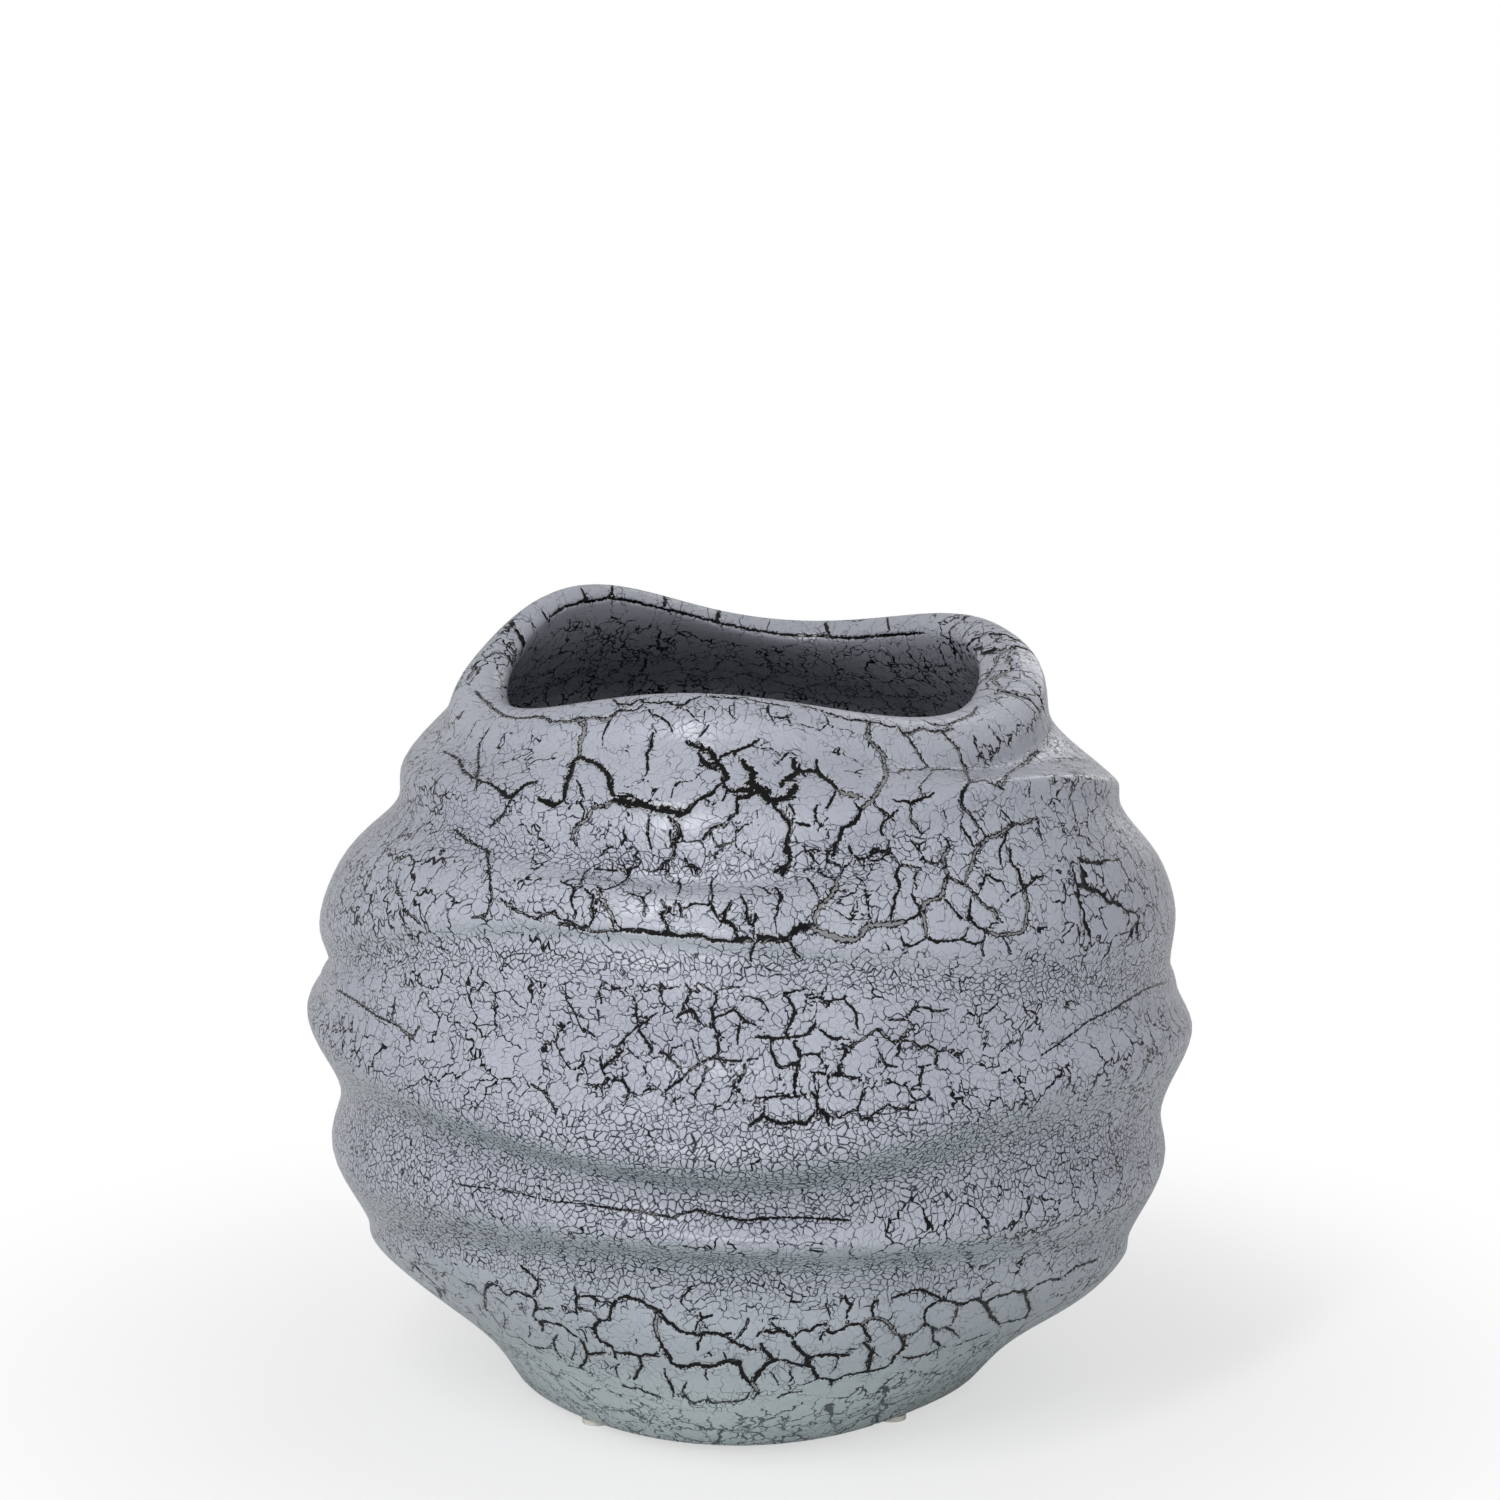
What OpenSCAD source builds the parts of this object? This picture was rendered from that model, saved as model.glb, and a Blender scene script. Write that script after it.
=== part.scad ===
// Rippled ceramic vase with a rolled, waving lip.
// The wall is one shell: wavy level curves are blended around the axis and then
// up the profile, and the inside follows the outside at the thickness of the wall.
// Four felt pads are stuck under the foot ring. The front of the vase faces -Y.

/* [Vase] */
// Widest reach of the vase from left to right
vase_width = 250; // [180:1:320]
// Height of the fired clay from the foot ring to the highest point of the lip
vase_height = 219; // [160:1:280]

/* [Wall] */
// Thickness of the clay wall, square to its outer face
wall_thickness = 7; // [5:0.5:9]
// Thickness of the clay floor above the hollow of the foot
floor_thickness = 8; // [6:0.5:12]

/* [Foot] */
// Width of the flat ring that the vase stands on
foot_ring_width = 11; // [10:0.5:16]
// Depth of the hollow inside the foot ring
foot_hollow_depth = 3; // [1:0.5:5]
// Radius that softens the edges of the foot ring
foot_edge_radius = 1.2; // [0.6:0.1:2]

/* [Felt pads] */
// Diameter of each round felt pad
pad_diameter = 8; // [6:0.5:9]
// Thickness of each felt pad
pad_thickness = 1.5; // [1:0.1:3]

/* [Smoothness] */
// Number of facets around the vase
facets_around = 64; // [48:8:72]

/* [Hidden] */

clay_colour = "#9c9da8";
felt_colour = "#d9d7d1";

// Every level curve is given at eight stations around the vase, in this order:
// front, front right, right, back right, back, back left, left, front left.
stations = 8;

// Radius of the foot's outer edge, as shares of half the vase's width
foot_shares = [0.560, 0.492, 0.528, 0.512, 0.512, 0.520, 0.536, 0.528];

// The level curves from the foot to the lip. Each has its heights, as shares of the
// vase's height, and its radii, as shares of half the vase's width.
level_shares = [
    // Line where the foot turns out into the bowl
    [[0.094, 0.110, 0.041, 0.064, 0.082, 0.068, 0.053, 0.100],
     [0.728, 0.672, 0.588, 0.640, 0.688, 0.656, 0.592, 0.672]],
    // Lower face of the bowl
    [[0.142, 0.169, 0.105, 0.128, 0.151, 0.146, 0.128, 0.164],
     [0.772, 0.764, 0.768, 0.776, 0.784, 0.784, 0.760, 0.760]],
    // Crest of the bowl
    [[0.196, 0.224, 0.164, 0.192, 0.210, 0.219, 0.187, 0.233],
     [0.812, 0.828, 0.858, 0.840, 0.832, 0.840, 0.862, 0.832]],
    // Groove above the bowl
    [[0.279, 0.256, 0.194, 0.228, 0.265, 0.256, 0.217, 0.269],
     [0.824, 0.840, 0.864, 0.848, 0.840, 0.856, 0.870, 0.844]],
    // Crest of the narrow ripple
    [[0.329, 0.315, 0.297, 0.306, 0.329, 0.338, 0.317, 0.333],
     [0.944, 0.944, 0.944, 0.944, 0.952, 0.944, 0.952, 0.944]],
    // Deep groove under the belly
    [[0.384, 0.406, 0.361, 0.365, 0.393, 0.420, 0.393, 0.416],
     [0.896, 0.912, 0.928, 0.912, 0.896, 0.904, 0.920, 0.920]],
    // Crest of the belly
    [[0.438, 0.502, 0.461, 0.447, 0.466, 0.511, 0.493, 0.475],
     [1.004, 0.996, 1.002, 0.984, 0.976, 0.984, 1.002, 0.996]],
    // Upright band above the belly crest
    [[0.543, 0.543, 0.511, 0.511, 0.539, 0.557, 0.521, 0.543],
     [0.944, 0.956, 0.966, 0.952, 0.944, 0.952, 0.976, 0.956]],
    // Ridge at the top of the belly
    [[0.648, 0.575, 0.532, 0.548, 0.584, 0.589, 0.537, 0.626],
     [0.950, 0.957, 0.958, 0.946, 0.939, 0.946, 0.966, 0.958]],
    // Groove above the belly
    [[0.680, 0.607, 0.553, 0.575, 0.621, 0.621, 0.553, 0.658],
     [0.928, 0.935, 0.945, 0.926, 0.920, 0.926, 0.946, 0.933]],
    // Crest of the upper tier
    [[0.712, 0.680, 0.621, 0.639, 0.676, 0.667, 0.603, 0.699],
     [0.948, 0.956, 0.957, 0.944, 0.936, 0.944, 0.970, 0.960]],
    // Upper face of the upper tier
    [[0.753, 0.753, 0.689, 0.694, 0.731, 0.721, 0.694, 0.753],
     [0.914, 0.900, 0.917, 0.896, 0.896, 0.888, 0.908, 0.912]],
    // Groove under the shoulder
    [[0.767, 0.822, 0.753, 0.749, 0.772, 0.776, 0.763, 0.792],
     [0.840, 0.824, 0.827, 0.808, 0.808, 0.792, 0.784, 0.824]],
    // Crest of the shoulder
    [[0.831, 0.858, 0.785, 0.785, 0.822, 0.831, 0.813, 0.836],
     [0.832, 0.824, 0.824, 0.816, 0.816, 0.800, 0.778, 0.816]],
    // Groove of the neck
    [[0.911, 0.856, 0.854, 0.858, 0.881, 0.895, 0.861, 0.879],
     [0.660, 0.672, 0.676, 0.680, 0.672, 0.688, 0.688, 0.684]],
    // Outer face of the lip
    [[0.938, 0.884, 0.920, 0.927, 0.920, 0.950, 0.906, 0.904],
     [0.632, 0.644, 0.656, 0.672, 0.636, 0.624, 0.656, 0.656]],
    // Top of the lip
    [[0.957, 0.913, 0.943, 0.959, 0.938, 1.000, 0.929, 0.929],
     [0.552, 0.552, 0.568, 0.592, 0.568, 0.552, 0.584, 0.568]],
    // Inner edge of the lip
    [[0.938, 0.895, 0.920, 0.932, 0.918, 0.977, 0.902, 0.911],
     [0.520, 0.512, 0.504, 0.528, 0.512, 0.512, 0.536, 0.528]]
];

// Places of the level curves in that list
foot_turn_level = 0;
bowl_level = 1;
belly_level = 6;
neck_level = 14;
lip_top_level = 16;
lip_inner_level = 17;

// How the wall turns into the floor: the floor's radius as a share of the foot's,
// and the height of the heel above the floor as a share of the height where the foot turns out
floor_radius_share = 0.75;
heel_height_share = 0.6;

// Rows of facets between one level curve and the next, outside and inside
rows_outside = 3;
rows_inside = 2;

// Facets around a felt pad
pad_facets = 48;

// Weight of a station at an angle from it: a periodic blend that meets each station
function blend_weight(angle) =
    abs(sin(angle / 2)) < 1e-6 ? 1 : sin(stations * angle / 2) / (stations * tan(angle / 2));

// Value at an angle from the front, from eight values at the stations
function around(values, angle) =
    let (weights = [for (s = [0 : stations - 1]) blend_weight(angle - s * 360 / stations)])
    values * weights;

angles = [for (i = [0 : facets_around - 1]) i * 360 / facets_around];

// The belly sets the width and the top of the lip sets the height, so the shares are
// measured against the reach of these two curves
belly_reach = [for (a = angles) around(level_shares[belly_level][1], a) * sin(a)];
lip_reach = [for (a = angles) around(level_shares[lip_top_level][0], a)];
radius_unit = vase_width / (max(belly_reach) - min(belly_reach));
height_unit = vase_height / max(lip_reach);

foot_z = pad_thickness;
hollow_z = foot_z + foot_hollow_depth;
floor_z = hollow_z + floor_thickness;

// Point of a level curve in the upright plane at an angle: radius and height
function level_point(level, angle) = [
    around(level_shares[level][1], angle) * radius_unit,
    foot_z + around(level_shares[level][0], angle) * height_unit
];

function unit(v) = v / norm(v);

// Point on the inner face, one wall thickness in from a level curve
function inner_point(level, angle) =
    let (
        along = unit(level_point(level + 1, angle) - level_point(level - 1, angle)),
        inward = [-along[1], along[0]]
    )
    level_point(level, angle) + wall_thickness * inward;

function foot_radius(angle) = around(foot_shares, angle) * radius_unit;

// Curve points of one upright section, from the foot's edge over the lip to the floor
function section_knots(angle) =
    let (
        foot_r = foot_radius(angle),
        turn = level_point(foot_turn_level, angle),
        heel_z = floor_z + (turn[1] - foot_z) * heel_height_share
    )
    concat(
        [[foot_r, foot_z + foot_edge_radius]],
        [for (k = [0 : lip_inner_level]) level_point(k, angle)],
        [for (k = [neck_level : -1 : bowl_level]) inner_point(k, angle)],
        [[turn[0] - wall_thickness, heel_z]],
        [[foot_r * floor_radius_share, floor_z]]
    );

outer_spans = lip_inner_level + 1;

// Slope of the curve at knot k, where the step to a knot is the root of its distance
function knot_step(knots, k) = sqrt(norm(knots[k + 1] - knots[k]));
function knot_slope(knots, k) =
    let (last = len(knots) - 1)
    k == 0 ? (knots[1] - knots[0]) / knot_step(knots, 0)
    : k == last ? (knots[last] - knots[last - 1]) / knot_step(knots, last - 1)
    : let (
        before = knot_step(knots, k - 1),
        after = knot_step(knots, k)
    )
    (knots[k + 1] - knots[k]) / after
    + (knots[k] - knots[k - 1]) / before
    - (knots[k + 1] - knots[k - 1]) / (before + after);

// Point at share t of the way from knot k to the next
function between_knots(knots, k, t) =
    let (
        step = knot_step(knots, k),
        rise = 3 * t * t - 2 * t * t * t
    )
    knots[k] * (1 - rise) + knots[k + 1] * rise
    + knot_slope(knots, k) * step * (t * t * t - 2 * t * t + t)
    + knot_slope(knots, k + 1) * step * (t * t * t - t * t);

function rows_in_span(k) = k < outer_spans ? rows_outside : rows_inside;

// One upright section: the underside of the foot, the outer face, the lip, the inside
function section(angle) =
    let (
        knots = section_knots(angle),
        last = len(knots) - 1,
        foot_r = foot_radius(angle),
        ring_r = foot_r - foot_ring_width
    )
    concat(
        [[ring_r - foot_hollow_depth, hollow_z]],
        [[ring_r, foot_z]],
        [[foot_r - foot_edge_radius, foot_z]],
        [for (k = [0 : last - 1], j = [0 : rows_in_span(k) - 1])
            between_knots(knots, k, j / rows_in_span(k))],
        [knots[last]]
    );

sections = [for (a = angles) section(a)];
rows = len(sections[0]);

// Place of a section's point, with the front at -Y
function placed(i, j) =
    let (p = sections[i][j], a = angles[i])
    [p[0] * sin(a), -p[0] * cos(a), p[1]];

wall_points = [for (j = [0 : rows - 1], i = [0 : facets_around - 1]) placed(i, j)];

// The origin is under the middle of the vase's box
centre_x = (max([for (p = wall_points) p[0]]) + min([for (p = wall_points) p[0]])) / 2;
centre_y = (max([for (p = wall_points) p[1]]) + min([for (p = wall_points) p[1]])) / 2;

function at(i, j) = j * facets_around + i % facets_around;

module vase_body() {
    underside_centre = len(wall_points);
    floor_centre = underside_centre + 1;
    points = concat(wall_points, [[0, 0, hollow_z], [0, 0, floor_z]]);
    faces = concat(
        [for (i = [0 : facets_around - 1]) [underside_centre, at(i, 0), at(i + 1, 0)]],
        [for (j = [0 : rows - 2], i = [0 : facets_around - 1])
            [at(i, j), at(i, j + 1), at(i + 1, j + 1)]],
        [for (j = [0 : rows - 2], i = [0 : facets_around - 1])
            [at(i, j), at(i + 1, j + 1), at(i + 1, j)]],
        [for (i = [0 : facets_around - 1]) [floor_centre, at(i + 1, rows - 1), at(i, rows - 1)]]
    );
    color(clay_colour)
        translate([-centre_x, -centre_y, 0])
            polyhedron(points = points, faces = faces);
}

// Felt pad under the middle of the foot ring, at one station
module felt_pad(station) {
    angle = station * 360 / stations;
    pad_r = foot_radius(angle) - foot_ring_width / 2;
    color(felt_colour)
        translate([pad_r * sin(angle) - centre_x, -pad_r * cos(angle) - centre_y, 0])
            cylinder(h = pad_thickness, d = pad_diameter, $fn = pad_facets);
}

module felt_pad_front_right() { felt_pad(1); }
module felt_pad_back_right() { felt_pad(3); }
module felt_pad_back_left() { felt_pad(5); }
module felt_pad_front_left() { felt_pad(7); }

vase_body();
felt_pad_front_right();
felt_pad_back_right();
felt_pad_back_left();
felt_pad_front_left();
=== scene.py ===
# %% [markdown]
# A squat ceramic vase with a rippled wall, a waving rolled lip and a crackled grey
# glaze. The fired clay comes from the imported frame. What this lesson adds is the
# glaze: a satin grey coat that shrank in the kiln and tore into plates, so that the
# glossy black glaze under it shows in the cracks.

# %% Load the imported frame
import math

import bmesh
import bpy
import numpy as np
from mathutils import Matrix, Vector, kdtree, noise


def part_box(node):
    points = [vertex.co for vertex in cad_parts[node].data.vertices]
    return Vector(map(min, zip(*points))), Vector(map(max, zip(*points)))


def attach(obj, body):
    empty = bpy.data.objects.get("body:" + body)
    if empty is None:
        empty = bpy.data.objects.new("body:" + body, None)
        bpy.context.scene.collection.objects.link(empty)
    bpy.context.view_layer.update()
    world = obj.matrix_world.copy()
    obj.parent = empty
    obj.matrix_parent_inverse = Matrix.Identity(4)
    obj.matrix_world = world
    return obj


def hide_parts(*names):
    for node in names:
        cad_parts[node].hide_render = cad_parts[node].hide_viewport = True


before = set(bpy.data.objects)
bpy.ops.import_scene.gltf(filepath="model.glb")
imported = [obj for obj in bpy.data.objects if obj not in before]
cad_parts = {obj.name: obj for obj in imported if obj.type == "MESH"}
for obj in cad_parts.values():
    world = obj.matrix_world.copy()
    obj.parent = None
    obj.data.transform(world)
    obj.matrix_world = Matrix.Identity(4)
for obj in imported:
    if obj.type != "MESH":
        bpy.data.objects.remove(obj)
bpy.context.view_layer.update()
print("nodes in the frame:", sorted(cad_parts))

# %% [markdown]
# Blender measures in metres, and potters measure in millimetres. One factor joins the
# two, so that every size below can be read as a real size. An operator acts on all
# that is selected, so one small helper leaves a single object selected. The others
# read a mesh's points, normals and edges as arrays.

# %% Units and small helpers
MM = 0.001


def only(piece):
    """Leaves this piece alone selected and active."""
    bpy.ops.object.select_all(action="DESELECT")
    piece.select_set(True)
    bpy.context.view_layer.objects.active = piece


def apply_all(piece):
    """Applies the piece's modifiers in their order."""
    only(piece)
    for modifier in list(piece.modifiers):
        bpy.ops.object.modifier_apply(modifier=modifier.name)


def rows_of(items, name, width, kind=float):
    """What Blender keeps under this name, one row of numbers for each item."""
    flat = np.empty(len(items) * width, dtype=kind)
    items.foreach_get(name, flat)
    return flat.reshape(-1, width)


def points_of(piece):
    """The piece's points in millimetres, one row each."""
    return rows_of(piece.data.vertices, "co", 3) / MM


def normals_of(piece):
    """The piece's outward directions, one row for each point."""
    return rows_of(piece.data.vertex_normals, "vector", 3)


def edge_ends(piece):
    """The two point numbers of each edge."""
    return rows_of(piece.data.edges, "vertices", 2, int)


def triangle_count(piece):
    """Triangles that the piece's faces make."""
    return sum(len(face.vertices) - 2 for face in piece.data.polygons)


def keep_attribute(piece, name, values, kind="FLOAT"):
    """Keeps a number or a vector for each point of the piece under this name."""
    attribute = piece.data.attributes.get(name)
    if attribute is None:
        attribute = piece.data.attributes.new(name, kind, "POINT")
    part = "value" if kind == "FLOAT" else "vector"
    attribute.data.foreach_set(part, np.asarray(values, dtype=np.float32).ravel())


def read_attribute(piece, name):
    """The numbers kept under this name, one for each point."""
    return rows_of(piece.data.attributes[name].data, "value", 1, np.float32)[:, 0]


# %% [markdown]
# The camera comes first, because the widest cracks are placed through it later. It looks
# down a little at the vase with a long lens, as a product photographer's camera does.

# %% Camera
# Place in metres, degrees below level, focal length and width of the photograph in its
# pixels, and width of the sensor in mm
CAMERA_PLACE = (0, -1.450, 0.4865)
CAMERA_PITCH = 11.85
PHOTO_FOCAL = 5317
PHOTO_WIDTH = 1500
SENSOR = 36
camera = bpy.data.cameras.new("camera")
camera.sensor_width = SENSOR
camera.lens = PHOTO_FOCAL / PHOTO_WIDTH * SENSOR
tripod = bpy.data.objects.new("camera", camera)
bpy.context.scene.collection.objects.link(tripod)
tripod.location = CAMERA_PLACE
tripod.rotation_euler = (math.radians(90 - CAMERA_PITCH), 0, 0)
bpy.context.scene.camera = tripod
bpy.context.scene.view_settings.view_transform = "Standard"
print("lens in mm:", round(camera.lens, 1))

# %% [markdown]
# The clay wall is a cast shell. The frame's node has its shape in flat facets, so a
# copy of it is welded and turned into quads, and Subdivision Surface rounds it. Two
# copies are made: a fine one, which stays smooth and serves as the mould, and a coarser
# one, which becomes the vase and is refined only where wide cracks cross it.

# %% Copy the cast wall and round it
WELD_DISTANCE = 0.01 * MM
QUAD_ANGLE = math.radians(80)
MOULD_LEVELS = 2
WALL_LEVELS = 1


def copy_of_wall(name, levels):
    """A welded copy of the frame's wall as smooth quads."""
    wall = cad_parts["vase_body"].copy()
    wall.data = wall.data.copy()
    wall.name = name
    bpy.context.scene.collection.objects.link(wall)
    only(wall)
    bpy.ops.object.mode_set(mode="EDIT")
    bpy.ops.mesh.select_all(action="SELECT")
    bpy.ops.mesh.remove_doubles(threshold=WELD_DISTANCE)
    bpy.ops.mesh.tris_convert_to_quads(face_threshold=QUAD_ANGLE, shape_threshold=QUAD_ANGLE)
    bpy.ops.mesh.normals_make_consistent(inside=False)
    bpy.ops.object.mode_set(mode="OBJECT")
    rounding = wall.modifiers.new("Round the facets", "SUBSURF")
    rounding.levels = levels
    rounding.render_levels = levels
    apply_all(wall)
    bpy.ops.object.shade_smooth()
    return wall


mould = copy_of_wall("mould", MOULD_LEVELS)
vase = copy_of_wall("crackled_vase", WALL_LEVELS)
print("mould:", triangle_count(mould), "triangles, vase:", triangle_count(vase), "triangles")
print("faces that aren't quads:", sum(len(face.vertices) != 4 for face in vase.data.polygons))

# %% [markdown]
# The facets of the vase are long around it and short up the wall. Splitting the edges
# that run around makes them nearly square. The new points lie on flat facets, so
# Shrinkwrap lays the mesh back on the smooth mould after each round of splitting.

# %% Split the long facets
# Degrees around the vase above which an edge is split, the outside share above which a
# face counts as outside, and the radius in mm below which edges are short enough
AROUND_ANGLE = 1.2
OUTSIDE_LIMIT = -0.2
NEAR_AXIS = 50


def azimuth_of(points):
    """Degrees around the vase, from 0 at the front through 90 at its right."""
    return np.degrees(np.arctan2(points[:, 0], -points[:, 1]))


def outside_share(points, normals):
    """1 where a point faces away from the vase's axis, -1 where it faces the axis."""
    flat = points[:, :2] / np.maximum(np.hypot(points[:, 0], points[:, 1]), 1)[:, None]
    return (flat * normals[:, :2]).sum(axis=1)


def lay_on_mould(piece):
    """Moves the piece's points onto the smooth mould."""
    wrap = piece.modifiers.new("Lay on the mould", "SHRINKWRAP")
    wrap.target = mould
    wrap.wrap_method = "NEAREST_SURFACEPOINT"
    apply_all(piece)


def split_edges(piece, chosen):
    """Subdivides the chosen edges once and lays the new points on the mould."""
    only(piece)
    bpy.ops.object.mode_set(mode="EDIT")
    bpy.ops.mesh.select_mode(type="EDGE")
    bpy.ops.mesh.select_all(action="DESELECT")
    net = bmesh.from_edit_mesh(piece.data)
    net.edges.ensure_lookup_table()
    for place in np.flatnonzero(chosen):
        net.edges[place].select = True
    bmesh.update_edit_mesh(piece.data)
    bpy.ops.mesh.subdivide(number_cuts=1)
    bpy.ops.object.mode_set(mode="OBJECT")
    lay_on_mould(piece)


points = points_of(vase)
ends = edge_ends(vase)
azimuths = azimuth_of(points)
turn = np.abs((azimuths[ends[:, 0]] - azimuths[ends[:, 1]] + 180) % 360 - 180)
radius = np.hypot(points[:, 0], points[:, 1])
outside = outside_share(points, normals_of(vase)) > OUTSIDE_LIMIT
long_edges = (turn > AROUND_ANGLE) & (radius[ends].min(axis=1) > NEAR_AXIS)
long_edges &= outside[ends].any(axis=1)
split_edges(vase, long_edges)
print("split", long_edges.sum(), "edges, vase:", triangle_count(vase), "triangles")

# %% [markdown]
# The coat of glaze was laid on by hand. It ran off the grooves and stood thick on the
# crests, and thick glaze tears into large plates with wide cracks, while thin glaze
# crazes into a fine net. Each row below is a line around the vase, with its heights and
# the thickness of the coat on it at eight stations. The thickness is kept on the mesh
# as the attribute "coat".

# %% Lay the coat of glaze
STATION_ANGLES = np.arange(0, 360, 45)
PAD_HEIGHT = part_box("felt_pad_front_right")[1].z / MM

# Height in mm above the foot and thickness of the coat, from 0 thin to 1 thick, each at
# front, front right, right and so on around the vase
COAT_LINES = [
    # Foot ring
    [(0, 0, 0, 0, 0, 0, 0, 0),
     (0.65, 0.65, 0.65, 0.65, 0.65, 0.65, 0.65, 0.65)],
    # Line where the foot turns out
    [(20, 24, 9, 14, 18, 15, 12, 22),
     (0.75, 0.70, 0.65, 0.70, 0.70, 0.70, 0.65, 0.70)],
    # Crest of the bowl
    [(40, 45, 33, 39, 43, 45, 38, 46),
     (1.00, 0.95, 0.60, 0.85, 0.90, 0.85, 0.55, 0.80)],
    # Groove above the bowl
    [(60, 56, 43, 50, 58, 56, 48, 58),
     (0.05, 0.25, 0.30, 0.20, 0.10, 0.15, 0.20, 0.05)],
    # Crest of the narrow ripple
    [(72, 69, 65, 67, 72, 74, 70, 73),
     (0.38, 0.45, 0.25, 0.35, 0.40, 0.35, 0.20, 0.20)],
    # Deep groove under the belly
    [(84, 89, 79, 80, 86, 92, 86, 91),
     (0.00, 0.05, 0.15, 0.05, 0.05, 0.05, 0.10, 0.05)],
    # Foot of the belly
    [(104, 106, 95, 96, 102, 108, 99, 104),
     (0.10, 0.30, 0.25, 0.20, 0.15, 0.20, 0.15, 0.20)],
    # Band above the crest of the belly
    [(119, 116, 108, 110, 117, 119, 108, 118),
     (0.72, 0.66, 0.35, 0.60, 0.65, 0.60, 0.30, 0.60)],
    # Ridge at the top of the belly
    [(142, 126, 117, 120, 128, 129, 118, 137),
     (0.60, 0.50, 0.30, 0.45, 0.50, 0.50, 0.25, 0.35)],
    # Groove above the belly
    [(149, 133, 121, 126, 136, 136, 121, 144),
     (0.00, 0.05, 0.15, 0.05, 0.05, 0.05, 0.10, 0.05)],
    # Crest of the upper tier
    [(156, 149, 136, 140, 148, 146, 132, 153),
     (0.80, 0.85, 0.35, 0.80, 0.85, 0.80, 0.25, 0.60)],
    # Upper face of the upper tier
    [(165, 165, 151, 152, 160, 158, 152, 165),
     (0.65, 0.75, 0.50, 0.60, 0.65, 0.60, 0.40, 0.65)],
    # Groove under the shoulder
    [(170, 176, 162, 161, 167, 167, 164, 171),
     (0.15, 0.50, 0.50, 0.20, 0.15, 0.20, 0.30, 0.20)],
    # Crest of the shoulder
    [(184, 188, 175, 174, 182, 184, 179, 184),
     (0.90, 0.72, 0.45, 0.80, 0.85, 0.80, 0.45, 0.50)],
    # Groove of the neck
    [(198, 192, 187, 188, 193, 196, 189, 193),
     (1.00, 0.90, 0.55, 0.85, 0.90, 0.85, 0.60, 0.85)],
    # Lip
    [(210, 200, 207, 210, 206, 219, 204, 204),
     (0.55, 0.90, 0.80, 0.85, 0.80, 0.85, 0.80, 0.85)],
]
# Thickness inside the vase, which begins at this depth in mm below the lip
INNER_COAT = 0.5
LIP_DEPTH = 9
# Size in mm of thicker and thinner patches, and how much they differ
PATCH_SIZE = 30
PATCH_SWING = 0.22
# Outside share below which a face begins to count as inside
INSIDE_FROM = 0.3


def coat_thickness(points, outward):
    """Thickness of the coat at each point, from 0 to 1."""
    azimuths = azimuth_of(points)
    lines = [[np.interp(azimuths, STATION_ANGLES, stations, period=360) for stations in line]
             for line in COAT_LINES]
    coat = lines[-1][1]
    for (low, low_coat), (high, high_coat) in zip(lines, lines[1:]):
        up = np.clip((points[:, 2] - PAD_HEIGHT - low) / (high - low), 0, 1)
        rise = up * up * (3 - 2 * up)
        in_band = (points[:, 2] - PAD_HEIGHT < high) & (points[:, 2] - PAD_HEIGHT >= low)
        coat = np.where(in_band, low_coat + (high_coat - low_coat) * rise, coat)
    deep = points[:, 2] - PAD_HEIGHT < lines[-1][0] - LIP_DEPTH
    coat = np.where(deep & ~outward, INNER_COAT, coat)
    patches = np.array([noise.noise(Vector(point) / PATCH_SIZE) for point in points])
    return np.clip(coat + patches * PATCH_SWING, 0, 1)


def lay_coat(piece):
    """Keeps the coat's thickness, the depth inside the vase and the rim on the mesh."""
    points = points_of(piece)
    share = outside_share(points, normals_of(piece))
    keep_attribute(piece, "coat", coat_thickness(points, share > OUTSIDE_LIMIT))
    keep_attribute(piece, "inside", np.clip(INSIDE_FROM - share, 0, 1))
    lip = np.interp(azimuth_of(points), STATION_ANGLES, COAT_LINES[-1][0], period=360)
    keep_attribute(piece, "below_lip", lip + PAD_HEIGHT - points[:, 2])


lay_coat(vase)
print("mean coat:", round(float(read_attribute(vase, "coat").mean()), 2))
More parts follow.
